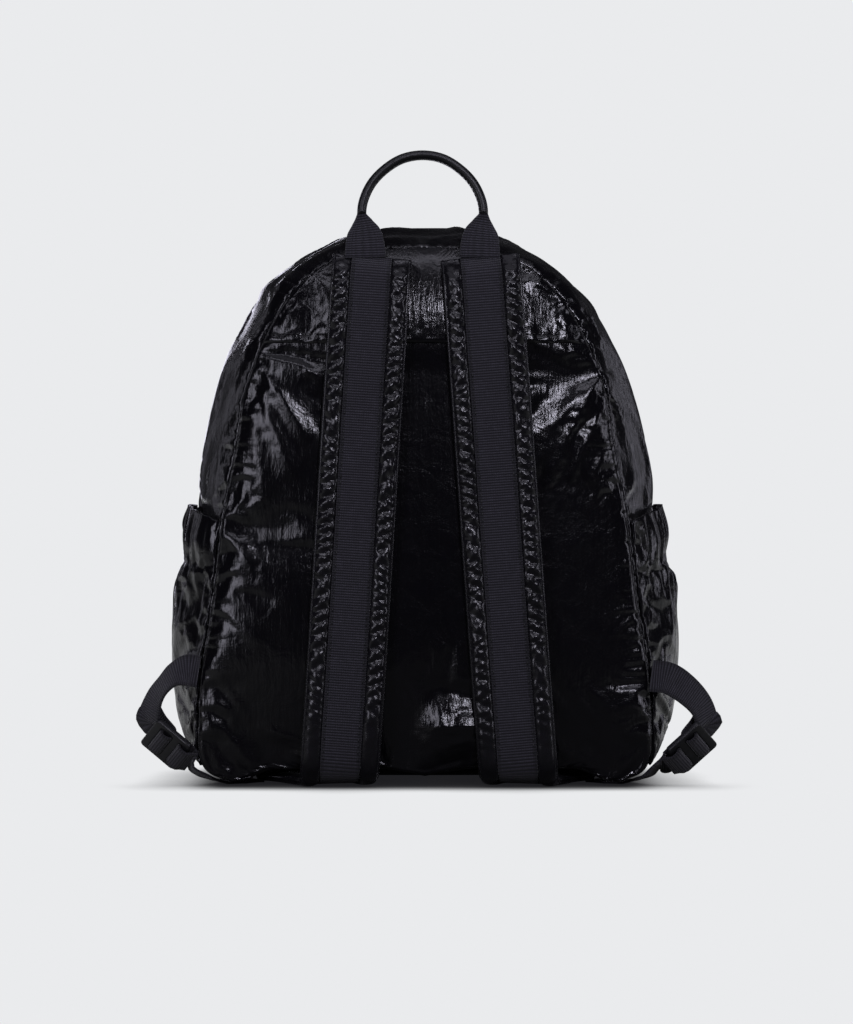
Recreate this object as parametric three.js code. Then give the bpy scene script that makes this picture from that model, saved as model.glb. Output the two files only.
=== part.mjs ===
import * as THREE from "three";

// Millimetres. X runs across the back as it faces the viewer, Y from the back to the front, Z up.
const WALL = 2.2;
const POCKET_WALL = 1.6;
const GAP = 0.3;
const SWELL_POWER = 2.4;
const POCKET_POWER = 3;
const BACK_SEAM_FOOT = -52;
const BACK_SEAM_LEAN = 3;
const FRONT_SEAM_FOOT = 52;
const FRONT_SEAM_LEAN = 9;
const BODY_HEIGHT = 271.7;
const BASE_JOINT = 4;
const HEM_HEIGHT = 224;
const HEM_GAP = 0.5;
const BACK_DOME = 7.2;
const HEM_DOME = 3.6;
const YOKE_DOME = 8.6;
const FRONT_DOME = 11;
const STRAP_LIFT_END = 17;
const STRAP_END_REACH = 79;
const PAD_WEB_WIDTH = 20;
const PAD_WEB_THICK = 1.5;
const PAD_WEB_SEAT = 4.7;
const NARROW_WEB_WIDTH = 16;
const NARROW_WEB_THICK = 1.2;
const LOCK_WIDTH = 23.6;
const LOCK_BAR = 3;
const LOCK_SLOT = 3.2;
const LOCK_THICK = 3.2;
const LOCK_SLOT_WIDTH = 17.6;
const LOCK_CORNER = 2;
const HANDLE_CENTRE = -1.2;
const HANDLE_BACK = -55.5;
const WRAP_RADIAL = 4.8;
const WRAP_DEEP = 10;
const WRAP_WALL = 0.9;
const ZIP_ACROSS = 0.58;
const ZIP_WIDTH = 9;
const ZIP_THICK = 1.4;

// Outline from the middle of the floor to the crown, along the seams and along the middle of the depth.
const OUTLINE = [
  { seamX: 0, seamZ: 0, midX: 0, midZ: 0 },
  { seamX: 60, seamZ: 0, midX: 60, midZ: 0 },
  { seamX: 97, seamZ: 1.6, midX: 97, midZ: 1.6 },
  { seamX: 109.5, seamZ: 7, midX: 109.8, midZ: 7 },
  { seamX: 113.8, seamZ: 16, midX: 114.2, midZ: 16 },
  { seamX: 114, seamZ: 35, midX: 115.3, midZ: 35 },
  { seamX: 112.7, seamZ: 58, midX: 115.4, midZ: 58 },
  { seamX: 107, seamZ: 94, midX: 114.8, midZ: 95 },
  { seamX: 103, seamZ: 129, midX: 115, midZ: 128 },
  { seamX: 98.8, seamZ: 154, midX: 117.6, midZ: 154 },
  { seamX: 94.8, seamZ: 175, midX: 114.6, midZ: 174 },
  { seamX: 92.3, seamZ: 195, midX: 110, midZ: 195 },
  { seamX: 85, seamZ: 217, midX: 102, midZ: 218 },
  { seamX: 73.5, seamZ: 240, midX: 90, midZ: 243 },
  { seamX: 61, seamZ: 255, midX: 74, midZ: 260.5 },
  { seamX: 46, seamZ: 264.8, midX: 55, midZ: 273.5 },
  { seamX: 26, seamZ: 270.3, midX: 31, midZ: 281.3 },
  { seamX: 0, seamZ: BODY_HEIGHT, midX: 0, midZ: 283.3 },
];
const CROWN = OUTLINE.length - 1;
const LOOP_ROWS = 2 * CROWN;

// How far the folded straps hold the base off the floor, across its back edge.
const LIFT = [
  { x: 0, lift: 5.4 },
  { x: 22, lift: 9.2 },
  { x: 84, lift: 9.2 },
  { x: 104, lift: 2 },
  { x: 116, lift: 0 },
];

// Main folds of the back panel: a ridge, or a dent, from one point to another.
const FOLDS = [
  { x: -82, z: 215, toX: -56, toZ: 204, half: 8, rise: 2.2 },
  { x: -84, z: 204, toX: -60, toZ: 176, half: 8, rise: 2.4 },
  { x: -86, z: 190, toX: -72, toZ: 140, half: 10, rise: 2 },
  { x: -78, z: 199, toX: -58, toZ: 190, half: 6, rise: -2 },
  { x: -98, z: 100, toX: -76, toZ: 92, half: 9, rise: -2.2 },
  { x: -104, z: 58, toX: -84, toZ: 34, half: 9, rise: 2 },
  { x: 0, z: 52, toX: 18, toZ: 28, half: 11, rise: -2.4 },
  { x: -6, z: 205, toX: 4, toZ: 150, half: 10, rise: 1.6 },
  { x: 80, z: 214, toX: 66, toZ: 172, half: 9, rise: 2.2 },
  { x: 84, z: 196, toX: 84, toZ: 150, half: 9, rise: -1.8 },
  { x: 102, z: 90, toX: 80, toZ: 78, half: 8, rise: 2.4 },
  { x: 100, z: 66, toX: 86, toZ: 48, half: 9, rise: -2 },
];

// Side pocket from its sewn bottom to its mouth: reach from the middle, and the drop at its seams.
const POCKET = [
  { z: 12.6, reach: 116.4, drop: 0, gather: 0 },
  { z: 17.4, reach: 121.8, drop: 0, gather: 0 },
  { z: 27, reach: 127.2, drop: 0, gather: 0.2 },
  { z: 46, reach: 130.6, drop: 0, gather: 0.4 },
  { z: 68, reach: 131.4, drop: 0, gather: 0.5 },
  { z: 92, reach: 130.2, drop: 0, gather: 0.7 },
  { z: 106, reach: 128, drop: 2, gather: 0.9 },
  { z: 117, reach: 125.4, drop: 4, gather: 1 },
  { z: 129, reach: 126.2, drop: 6, gather: 0.9 },
  { z: 141.5, reach: 124.4, drop: 8, gather: 0.8 },
];
const POCKET_GATHERS = 8;

// Shoulder strap along the face that lies on the bag; lean turns its outer face from the back to the floor.
const STRAP = [
  { steps: 2, share: 0, bend: 0, y: -55.4, z: 265.8, lean: 0, fill: 0.55, gather: 0 },
  { steps: 5, share: 0.05, bend: 0, y: -58.6, z: 256, lean: 0, fill: 0.95, gather: 0.7 },
  { steps: 8, share: 0.16, bend: 0, y: -62, z: 226, lean: 0, fill: 1, gather: 1 },
  { steps: 12, share: 0.34, bend: 0, y: -62.2, z: 180, lean: 0, fill: 1, gather: 1 },
  { steps: 11, share: 0.6, bend: 0, y: -62.2, z: 110, lean: 0, fill: 1, gather: 1 },
  { steps: 4, share: 0.84, bend: 0, y: -61.8, z: 48, lean: 0, fill: 1, gather: 0.6 },
  { steps: 2, share: 0.94, bend: 0, y: -61.2, z: 24, lean: 0, fill: 0.95, gather: 0 },
  { steps: 3, share: 1, bend: 0, y: -58.6, z: 11.5, lean: 42, fill: 0.8, gather: 0 },
  { steps: 2, share: 1, bend: 0.03, y: -51, z: 7.2, lean: 84, fill: 0.72, gather: 0 },
  { steps: 2, share: 1, bend: 0.2, y: -38, z: 6.4, lean: 90, fill: 0.7, gather: 0 },
  { steps: 2, share: 1, bend: 0.54, y: -27, z: 6.4, lean: 90, fill: 0.7, gather: 0 },
  { steps: 0, share: 1, bend: 1, y: -21, z: 6.4, lean: 90, fill: 0.66, gather: 0 },
];
const STRAP_SIDES = [
  { name: "left", top: -26.4, foot: -42.6, side: -1 },
  { name: "right", top: 27.7, foot: 46.6, side: 1 },
];

// Cross-section of a pad, half of it: across the strap and out from the bag; roll is how far gathers move it.
const PAD_SECTION = [
  { across: 15, out: 0, roll: 0 },
  { across: 19, out: 2.6, roll: 0.5 },
  { across: 17.4, out: 6.2, roll: 1 },
  { across: 12.6, out: 6.6, roll: 1 },
  { across: 10.4, out: 3.9, roll: 0 },
];
const GATHER_DEPTH = 1.2;

// Side loops: the webbing from the seam round to the lock. Tilt turns it from facing the back to edge on.
const LOOP_LEFT = [
  { reach: 113.6, y: -56, z: 58, tilt: 0 },
  { reach: 119.4, y: -55.6, z: 58.8, tilt: 18 },
  { reach: 125.8, y: -54.4, z: 56.8, tilt: 48 },
  { reach: 131.8, y: -53, z: 51, tilt: 60 },
  { reach: 135.6, y: -51.6, z: 44.6, tilt: 58 },
  { reach: 137.4, y: -50.4, z: 37, tilt: 50 },
];
const LOOP_RIGHT = [
  { reach: 113.6, y: -56, z: 56, tilt: 0 },
  { reach: 122, y: -55.4, z: 54.8, tilt: 8 },
  { reach: 131, y: -53.6, z: 49.2, tilt: 26 },
  { reach: 138, y: -51.4, z: 40.6, tilt: 38 },
  { reach: 140.6, y: -49.6, z: 33, tilt: 44 },
];
const LOCK_SIDES = [
  { name: "left", side: -1, loop: LOOP_LEFT, reach: 130.6, y: -49, z: 18.8, slope: 50, tilt: 50 },
  { name: "right", side: 1, loop: LOOP_RIGHT, reach: 136, y: -49, z: 16.6, slope: 58, tilt: 50 },
];

// Webbing through the lock: along the lock, and out from its inner face.
const ADJUSTER_THREAD = [
  { along: -12.6, out: -3.3 },
  { along: -8.8, out: -3.2 },
  { along: -6.6, out: -2.1 },
  { along: -6.1, out: 1.8 },
  { along: -4.4, out: 3 },
  { along: -1.8, out: 3 },
  { along: -0.1, out: 1.8 },
  { along: 0.1, out: -2 },
  { along: -1.2, out: -4.6 },
  { along: -4, out: -5.5 },
  { along: -9, out: -6.6 },
  { along: -15, out: -9.5 },
  { along: -21, out: -13.5 },
];
const TAIL_THREAD = [
  { along: 13.6, out: -3 },
  { along: 8.6, out: -3 },
  { along: 6.6, out: -2 },
  { along: 6.2, out: 1.8 },
  { along: 7.8, out: 2.9 },
  { along: 11, out: 2.8 },
  { along: 13, out: 0.8 },
  { along: 15.4, out: -1 },
];

// Narrow webbing on the floor, from the end of the pad to the side of the bag.
const TAIL_FLOOR = [
  { reach: 86.4, y: -21.6, z: 0.8, tilt: 90 },
  { reach: 96, y: -27.4, z: 0.8, tilt: 90 },
  { reach: 106, y: -36, z: 1.4, tilt: 88 },
  { reach: 115, y: -44, z: 4.4, tilt: 70 },
];

// Handle from a sewn end to the top: its middle line and the size of the webbing across and deep.
const HANDLE = [
  { reach: 28.6, back: 0.6, z: 267.8, wide: 20, deep: 1.6 },
  { reach: 28.9, back: 0.4, z: 273, wide: 19, deep: 1.8 },
  { reach: 29.3, back: 0.8, z: 279, wide: 16.6, deep: 3 },
  { reach: 29.8, back: 1.6, z: 284.5, wide: 11.6, deep: 4.6 },
  { reach: 30.4, back: 2.2, z: 290, wide: 5.6, deep: 6.4 },
  { reach: 29.6, back: 2.6, z: 295, wide: 2.2, deep: 7.2 },
  { reach: 25.6, back: 3.4, z: 303.5, wide: 2.2, deep: 7.2 },
  { reach: 19.2, back: 4, z: 310.4, wide: 2.2, deep: 7.2 },
  { reach: 10.4, back: 4.4, z: 315.9, wide: 2.2, deep: 7.2 },
  { reach: 0, back: 4.6, z: 317.8, wide: 2.2, deep: 7.2 },
];
const HANDLE_STEPS = 36;
const WRAP_FROM = 0.27;

const NYLON = { color: 0x0c0d11, roughness: 0.3 };
const WEBBING = { color: 0x1b1c20, roughness: 0.8 };
const WRAP_CLOTH = { color: 0x111216, roughness: 0.5 };
const PLASTIC = { color: 0x1e1f23, roughness: 0.35 };
const ZIP_TAPE = { color: 0x131418, roughness: 0.7 };

const bag = new THREE.Group();

function lerp(from, to, share) {
  return from + (to - from) * share;
}

// Value of a column between the rows of a table that is ordered by another column.
function lookUp(rows, key, value, column) {
  let low = 0;
  while (low < rows.length - 2 && rows[low + 1][key] < value) {
    low += 1;
  }
  const span = rows[low + 1][key] - rows[low][key];
  const share = THREE.MathUtils.clamp((value - rows[low][key]) / span, 0, 1);
  return lerp(rows[low][column], rows[low + 1][column], THREE.MathUtils.smoothstep(share, 0, 1));
}

// A smooth line through the rows of a table, with one more column read along it.
function tableLine(rows, place) {
  return new THREE.CatmullRomCurve3(rows.map(place), false, "centripetal");
}

function tableColumn(rows, column) {
  const line = tableLine(rows, (row, index) => new THREE.Vector3(index, row[column], 0));
  return (share) => line.getPoint(share).y;
}

function outlineLoop(across, up) {
  const right = OUTLINE.map((row) => new THREE.Vector3(row[across], 0, row[up]));
  const left = OUTLINE.slice(1, CROWN).reverse().map((row) => new THREE.Vector3(-row[across], 0, row[up]));
  return new THREE.CatmullRomCurve3([...right, ...left], true, "centripetal");
}

const SEAM_LINE = outlineLoop("seamX", "seamZ");
const MIDDLE_LINE = outlineLoop("midX", "midZ");

function backSeam(z) {
  return BACK_SEAM_FOOT + BACK_SEAM_LEAN * z / BODY_HEIGHT;
}

function frontSeam(z) {
  return FRONT_SEAM_FOOT - FRONT_SEAM_LEAN * z / BODY_HEIGHT;
}

// The row of the outline at which the seam reaches a height, and the half width there.
function outlineRow(z) {
  let low = 1;
  let high = CROWN;
  for (let step = 0; step < 30; step += 1) {
    const middle = (low + high) / 2;
    const reached = SEAM_LINE.getPoint(middle / LOOP_ROWS).z;
    low = reached < z ? middle : low;
    high = reached < z ? high : middle;
  }
  return low;
}

function halfWidth(z) {
  return SEAM_LINE.getPoint(outlineRow(z) / LOOP_ROWS).x;
}

function baseLift(x, y) {
  const fade = 1 - THREE.MathUtils.smoothstep(y, -8, STRAP_LIFT_END);
  return lookUp(LIFT, "x", Math.abs(x), "lift") * fade;
}

// A point of the strip that runs round the bag, between the back seam at -1 and the front seam at 1.
function stripPoint(row, across) {
  const turn = THREE.MathUtils.euclideanModulo(row / LOOP_ROWS, 1);
  const seam = SEAM_LINE.getPoint(turn);
  const swell = 1 - Math.abs(across) ** SWELL_POWER;
  const point = seam.clone().lerp(MIDDLE_LINE.getPoint(turn), swell);
  point.y = lerp(backSeam(seam.z), frontSeam(seam.z), (across + 1) / 2);
  point.z = Math.max(point.z, 0);
  return point;
}

function foldHeight(x, z) {
  let height = 0;
  for (const fold of FOLDS) {
    const runX = fold.toX - fold.x;
    const runZ = fold.toZ - fold.z;
    const run = ((x - fold.x) * runX + (z - fold.z) * runZ) / (runX ** 2 + runZ ** 2);
    const share = THREE.MathUtils.clamp(run, 0, 1);
    const away = Math.hypot(x - fold.x - share * runX, z - fold.z - share * runZ);
    height += fold.rise * Math.exp(-((away / fold.half) ** 2));
  }
  return height;
}

// Depth of the outer face of the back: the lower panel below the hem, the yoke above it.
function backDepth(x, z) {
  const rim = backSeam(z) - GAP - WALL;
  const inside = 1 - Math.min(Math.abs(x) / halfWidth(z), 1) ** 2.6;
  if (z > HEM_HEIGHT) {
    const up = THREE.MathUtils.clamp((z - HEM_HEIGHT) / (BODY_HEIGHT - HEM_HEIGHT), 0, 1);
    return rim - YOKE_DOME * inside * (1 - up ** 2.2);
  }
  const foot = THREE.MathUtils.smoothstep(z, -12, 62);
  const tuck = THREE.MathUtils.smoothstep(z, HEM_HEIGHT - 24, HEM_HEIGHT);
  const dome = lerp(BACK_DOME, HEM_DOME, tuck) * foot;
  return rim - inside * (dome + foldHeight(x, z) * (1 - tuck));
}

function frontDepth(x, z) {
  const inside = 1 - Math.min(Math.abs(x) / halfWidth(z), 1) ** 2.6;
  const up = Math.abs(2 * z / BODY_HEIGHT - 0.92);
  return frontSeam(z) + GAP + WALL + FRONT_DOME * inside * (1 - Math.min(up, 1) ** 2.6);
}

// A closed solid from two grids of points with the same rows and columns.
function wallSolid(rows, columns, outerAt, innerAt) {
  const points = [];
  const faces = [];
  for (const placeAt of [outerAt, innerAt]) {
    for (let row = 0; row <= rows; row += 1) {
      for (let column = 0; column <= columns; column += 1) {
        points.push(placeAt(row / rows, column / columns, row));
      }
    }
  }
  const grid = (rows + 1) * (columns + 1);
  const at = (row, column) => row * (columns + 1) + column;
  const quad = (a, b, c, d) => faces.push(a, b, c, a, c, d);
  for (let row = 0; row < rows; row += 1) {
    for (let column = 0; column < columns; column += 1) {
      const corners = [at(row, column), at(row, column + 1), at(row + 1, column + 1), at(row + 1, column)];
      quad(...corners);
      quad(...corners.map((corner) => corner + grid).reverse());
    }
  }
  for (let row = 0; row < rows; row += 1) {
    quad(at(row, 0), at(row + 1, 0), at(row + 1, 0) + grid, at(row, 0) + grid);
    quad(at(row + 1, columns), at(row, columns), at(row, columns) + grid, at(row + 1, columns) + grid);
  }
  for (let column = 0; column < columns; column += 1) {
    quad(at(0, column + 1), at(0, column), at(0, column) + grid, at(0, column + 1) + grid);
    quad(at(rows, column), at(rows, column + 1), at(rows, column + 1) + grid, at(rows, column) + grid);
  }
  return facedOut(points, faces);
}

// A closed solid through a run of closed sections, or a hollow one when inner sections are given.
function loftSolid(sections, inner) {
  const count = sections[0].length;
  const points = sections.flat();
  const faces = [];
  const quad = (a, b, c, d) => faces.push(a, b, c, a, c, d);
  const last = (sections.length - 1) * count;
  const hole = points.length;
  for (let row = 0; row < sections.length - 1; row += 1) {
    for (let place = 0; place < count; place += 1) {
      const next = (place + 1) % count;
      const [a, b] = [row * count + place, row * count + next];
      quad(a, b, b + count, a + count);
      if (inner) {
        quad(hole + b, hole + a, hole + a + count, hole + b + count);
      }
    }
  }
  if (inner) {
    points.push(...inner.flat());
  } else {
    points.push(middleOf(sections[0]), middleOf(sections[sections.length - 1]));
  }
  for (let place = 0; place < count; place += 1) {
    const next = (place + 1) % count;
    if (inner) {
      quad(next, place, hole + place, hole + next);
      quad(last + place, last + next, hole + last + next, hole + last + place);
    } else {
      faces.push(next, place, hole, last + place, last + next, hole + 1);
    }
  }
  return facedOut(points, faces);
}

function middleOf(section) {
  const middle = new THREE.Vector3();
  for (const point of section) {
    middle.addScaledVector(point, 1 / section.length);
  }
  return middle;
}

function facedOut(points, faces) {
  let volume = 0;
  for (let face = 0; face < faces.length; face += 3) {
    const [a, b, c] = [0, 1, 2].map((corner) => points[faces[face + corner]]);
    volume += a.dot(new THREE.Vector3().crossVectors(b, c));
  }
  const geometry = new THREE.BufferGeometry().setFromPoints(points);
  geometry.setIndex(volume > 0 ? faces : faces.slice().reverse());
  return geometry;
}

// The same surface moved along its own normal; sideways keeps the shift within the outline's plane.
function movedIn(placeAt, depth) {
  const small = 0.002;
  return (up, along) => {
    const low = placeAt(Math.max(up - small, 0), along);
    const high = placeAt(Math.min(up + small, 1), along);
    const left = placeAt(up, Math.max(along - small, 0));
    const right = placeAt(up, Math.min(along + small, 1));
    const normal = high.sub(low).cross(right.sub(left)).normalize();
    return placeAt(up, along).addScaledVector(normal, depth);
  };
}

function addPiece(name, geometry, look) {
  const material = new THREE.MeshStandardMaterial({ color: look.color, roughness: look.roughness });
  geometry.computeVertexNormals();
  const piece = new THREE.Mesh(geometry, material);
  piece.name = name;
  bag.add(piece);
}

// Heights of the rows of a panel: close together round the bottom corners and the top arch.
function panelHeights(steps, archSteps) {
  const heights = [0.8, 3, 7];
  const start = 12;
  for (let step = 0; step <= steps; step += 1) {
    heights.push(lerp(start, HEM_HEIGHT - HEM_GAP, step / steps));
  }
  return heights.concat(archSteps ? archHeights(archSteps).slice(1) : []);
}

function archHeights(steps) {
  const heights = [];
  const start = outlineRow(HEM_HEIGHT + GAP);
  for (let step = 0; step <= steps; step += 1) {
    heights.push(SEAM_LINE.getPoint(lerp(start, CROWN - 0.8, step / steps) / LOOP_ROWS).z);
  }
  return heights;
}

function addPanel(name, heights, columns, depthAt, inward, liftY) {
  const placeAt = (thickness) => (up, along, row) => {
    const height = heights[row];
    const x = (2 * along - 1) * halfWidth(height);
    const raise = baseLift(x, liftY) * (1 - THREE.MathUtils.smoothstep(height, 0, 34));
    return new THREE.Vector3(x, depthAt(x, height) + thickness, height + raise);
  };
  addPiece(name, wallSolid(heights.length - 1, columns, placeAt(0), placeAt(inward)), NYLON);
}

addPanel("back_panel", panelHeights(17), 18, backDepth, WALL, BACK_SEAM_FOOT);
addPanel("back_yoke", archHeights(8), 16, backDepth, WALL, BACK_SEAM_FOOT);
addPanel("front_panel", panelHeights(9, 5), 10, frontDepth, -WALL, FRONT_SEAM_FOOT);

// The gusset runs from one base joint over the crown to the other, the base closes the loop.
function addStrip(name, from, to, steps, columns, lifted) {
  const placeAt = (up, along) => {
    const point = stripPoint(lerp(from, to, up), 2 * along - 1);
    point.z += lifted ? baseLift(point.x, point.y) : 0;
    return point;
  };
  addPiece(name, wallSolid(steps, columns, placeAt, movedIn(placeAt, WALL)), NYLON);
}

addStrip("gusset", BASE_JOINT, LOOP_ROWS - BASE_JOINT, 40, 6, false);
addStrip("base_panel", -BASE_JOINT + 0.05, BASE_JOINT - 0.05, 16, 6, true);

// A plain closed zip on the hidden front half of the gusset.
function addZip() {
  const edges = [ZIP_ACROSS - ZIP_WIDTH / 94, ZIP_ACROSS + ZIP_WIDTH / 94];
  const from = 8.6;
  const placeAt = (up, along) => stripPoint(lerp(from, LOOP_ROWS - from, up), lerp(edges[0], edges[1], along));
  const under = movedIn(placeAt, -GAP - 0.15);
  const over = movedIn(placeAt, -GAP - 0.15 - ZIP_THICK);
  addPiece("main_zip", wallSolid(30, 1, over, under), ZIP_TAPE);
}

addZip();

function addPocket(name, side) {
  const line = tableLine(POCKET, (row) => new THREE.Vector3(row.reach, row.drop, row.z));
  const gather = tableColumn(POCKET, "gather");
  const placeAt = (up, along) => {
    const across = 2 * along - 1;
    const row = line.getPoint(up);
    const z = row.z - row.y * across ** 2;
    const sewn = halfWidth(z) + GAP + POCKET_WALL + 1;
    const puff = 1 - Math.abs(across) ** POCKET_POWER;
    const ripple = gather(up) * Math.cos(POCKET_GATHERS * Math.PI * across) * Math.min(1, 3 * puff);
    const y = lerp(backSeam(z) + 1, frontSeam(z) - 1, along);
    return new THREE.Vector3(side * (lerp(sewn, Math.max(row.x, sewn), puff) + ripple), y, z);
  };
  addPiece(name, wallSolid(11, 2 * POCKET_GATHERS, placeAt, movedIn(placeAt, side * POCKET_WALL)), NYLON);
}

addPocket("side_pocket_left", -1);
addPocket("side_pocket_right", 1);

// Frames along a shoulder strap: place on the bag's side, width direction and outward direction.
function strapFrames(strap) {
  const line = tableLine(STRAP, (row) => {
    const hang = lerp(strap.top, strap.foot, row.share);
    return new THREE.Vector3(lerp(hang, strap.side * STRAP_END_REACH, row.bend), row.y, row.z);
  });
  const lean = tableColumn(STRAP, "lean");
  const fill = tableColumn(STRAP, "fill");
  const gather = tableColumn(STRAP, "gather");
  const frames = [];
  STRAP.forEach((row, index) => {
    for (let step = 0; step < Math.max(row.steps, 1); step += 1) {
      const share = (index + step / Math.max(row.steps, 1)) / (STRAP.length - 1);
      const turn = THREE.MathUtils.degToRad(lean(share));
      const facing = new THREE.Vector3(0, -Math.cos(turn), -Math.sin(turn));
      const run = line.getTangent(share);
      const wide = new THREE.Vector3().crossVectors(run, facing).normalize();
      const out = wide.clone().cross(run);
      const pucker = gather(share) * (frames.length % 2 ? GATHER_DEPTH : 0);
      frames.push({ place: line.getPoint(share), wide, out, fill: fill(share), pucker });
    }
  });
  return frames;
}

function framePoint(frame, across, out) {
  return frame.place.clone().addScaledVector(frame.wide, across).addScaledVector(frame.out, out);
}

function padOutline(frame) {
  const half = PAD_SECTION.map((row) => {
    const roll = row.roll * frame.pucker;
    return { across: row.across - 0.4 * roll, out: Math.max(row.out - roll, 0) };
  });
  const seat = (row, index) => index === half.length - 1 ? row.out : row.out * frame.fill;
  const right = half.map((row, index) => framePoint(frame, row.across, seat(row, index)));
  const left = half.map((row, index) => framePoint(frame, -row.across, seat(row, index)));
  return [...right, ...left.reverse()];
}

function webOutline(frame) {
  const half = PAD_WEB_WIDTH / 2;
  const low = PAD_WEB_SEAT;
  const high = PAD_WEB_SEAT + PAD_WEB_THICK;
  const corners = [[-half, low], [half, low], [half, high], [-half, high]];
  return corners.map(([across, out]) => framePoint(frame, across, out));
}

for (const strap of STRAP_SIDES) {
  const frames = strapFrames(strap);
  addPiece(`strap_pad_${strap.name}`, loftSolid(frames.map(padOutline)), NYLON);
  addPiece(`strap_webbing_${strap.name}`, loftSolid(frames.map(webOutline)), WEBBING);
}

// Flat webbing along a run of places, each with its own width direction.
function webbingSolid(places, width, thick) {
  const line = tableLine(places, (row) => row.place);
  const wideLine = tableLine(places, (row) => row.wide);
  const steps = 2 * (places.length - 1);
  const sections = [];
  for (let step = 0; step <= steps; step += 1) {
    const share = step / steps;
    const run = line.getTangent(share);
    const wide = wideLine.getPoint(share).normalize();
    wide.addScaledVector(run, -wide.dot(run)).normalize();
    const frame = { place: line.getPoint(share), wide, out: wide.clone().cross(run) };
    const half = [width / 2, thick / 2];
    const corners = [[-1, -1], [1, -1], [1, 1], [-1, 1]];
    sections.push(corners.map(([across, out]) => framePoint(frame, across * half[0], out * half[1])));
  }
  return loftSolid(sections);
}

// Width direction of a webbing that runs in the plane of the back, turned by its tilt towards the viewer.
function tiltedWidth(inward, tilt) {
  const turn = THREE.MathUtils.degToRad(tilt);
  return inward.clone().multiplyScalar(Math.cos(turn)).add(new THREE.Vector3(0, -Math.sin(turn), 0));
}

function lockFrame(lock) {
  const slope = THREE.MathUtils.degToRad(lock.slope);
  const along = new THREE.Vector3(-lock.side * Math.cos(slope), 0, -Math.sin(slope));
  const inward = new THREE.Vector3(-lock.side * Math.sin(slope), 0, Math.cos(slope));
  const wide = tiltedWidth(inward, lock.tilt);
  const out = wide.clone().cross(along).multiplyScalar(lock.side);
  return { place: new THREE.Vector3(lock.side * lock.reach, lock.y, lock.z), along, wide, out };
}

function threadPlaces(frame, rows) {
  return rows.map((row) => {
    const place = frame.place.clone().addScaledVector(frame.along, row.along).addScaledVector(frame.out, row.out);
    return { place, wide: frame.wide };
  });
}

function loopPlaces(rows, side) {
  const line = tableLine(rows, (row) => new THREE.Vector3(side * row.reach, 0, row.z));
  return rows.map((row, index) => {
    const run = line.getTangent(index / (rows.length - 1));
    const inward = new THREE.Vector3(side * run.z, 0, -side * run.x);
    return { place: new THREE.Vector3(side * row.reach, row.y, row.z), wide: tiltedWidth(inward, row.tilt) };
  });
}

function floorPlaces(rows, side) {
  return rows.map((row) => {
    const turn = THREE.MathUtils.degToRad(row.tilt);
    const wide = new THREE.Vector3(0, -Math.sin(turn), Math.cos(turn));
    return { place: new THREE.Vector3(side * row.reach, row.y, row.z), wide };
  });
}

function roundedBox(width, height, corner) {
  const shape = new THREE.Shape();
  const [w, h] = [width / 2, height / 2];
  shape.moveTo(-w + corner, -h);
  shape.lineTo(w - corner, -h);
  shape.quadraticCurveTo(w, -h, w, -h + corner);
  shape.lineTo(w, h - corner);
  shape.quadraticCurveTo(w, h, w - corner, h);
  shape.lineTo(-w + corner, h);
  shape.quadraticCurveTo(-w, h, -w, h - corner);
  shape.lineTo(-w, -h + corner);
  shape.quadraticCurveTo(-w, -h, -w + corner, -h);
  return shape;
}

function lockSolid(frame) {
  const length = 4 * LOCK_BAR + 3 * LOCK_SLOT;
  const shape = roundedBox(LOCK_WIDTH, length, LOCK_CORNER);
  for (const slot of [-1, 0, 1]) {
    const middle = slot * (LOCK_BAR + LOCK_SLOT);
    const [w, h] = [LOCK_SLOT_WIDTH / 2, LOCK_SLOT / 2];
    const edge = [[-w, -h], [-w, h], [w, h], [w, -h]];
    shape.holes.push(new THREE.Path(edge.map(([x, y]) => new THREE.Vector2(x, y + middle))));
  }
  const solid = new THREE.ExtrudeGeometry(shape, { depth: LOCK_THICK, bevelEnabled: false, curveSegments: 3 });
  solid.translate(0, 0, -LOCK_THICK / 2);
  const across = frame.along.clone().cross(frame.out);
  solid.applyMatrix4(new THREE.Matrix4().makeBasis(across, frame.along, frame.out).setPosition(frame.place));
  return solid;
}

for (const lock of LOCK_SIDES) {
  const frame = lockFrame(lock);
  const adjuster = [...loopPlaces(lock.loop, lock.side), ...threadPlaces(frame, ADJUSTER_THREAD)];
  const tail = [...floorPlaces(TAIL_FLOOR, lock.side), ...threadPlaces(frame, TAIL_THREAD)];
  addPiece(`adjuster_webbing_${lock.name}`, webbingSolid(adjuster, NARROW_WEB_WIDTH, NARROW_WEB_THICK), WEBBING);
  addPiece(`strap_tail_${lock.name}`, webbingSolid(tail, NARROW_WEB_WIDTH, NARROW_WEB_THICK), WEBBING);
  addPiece(`ladder_lock_${lock.name}`, lockSolid(frame), PLASTIC);
}

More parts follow.
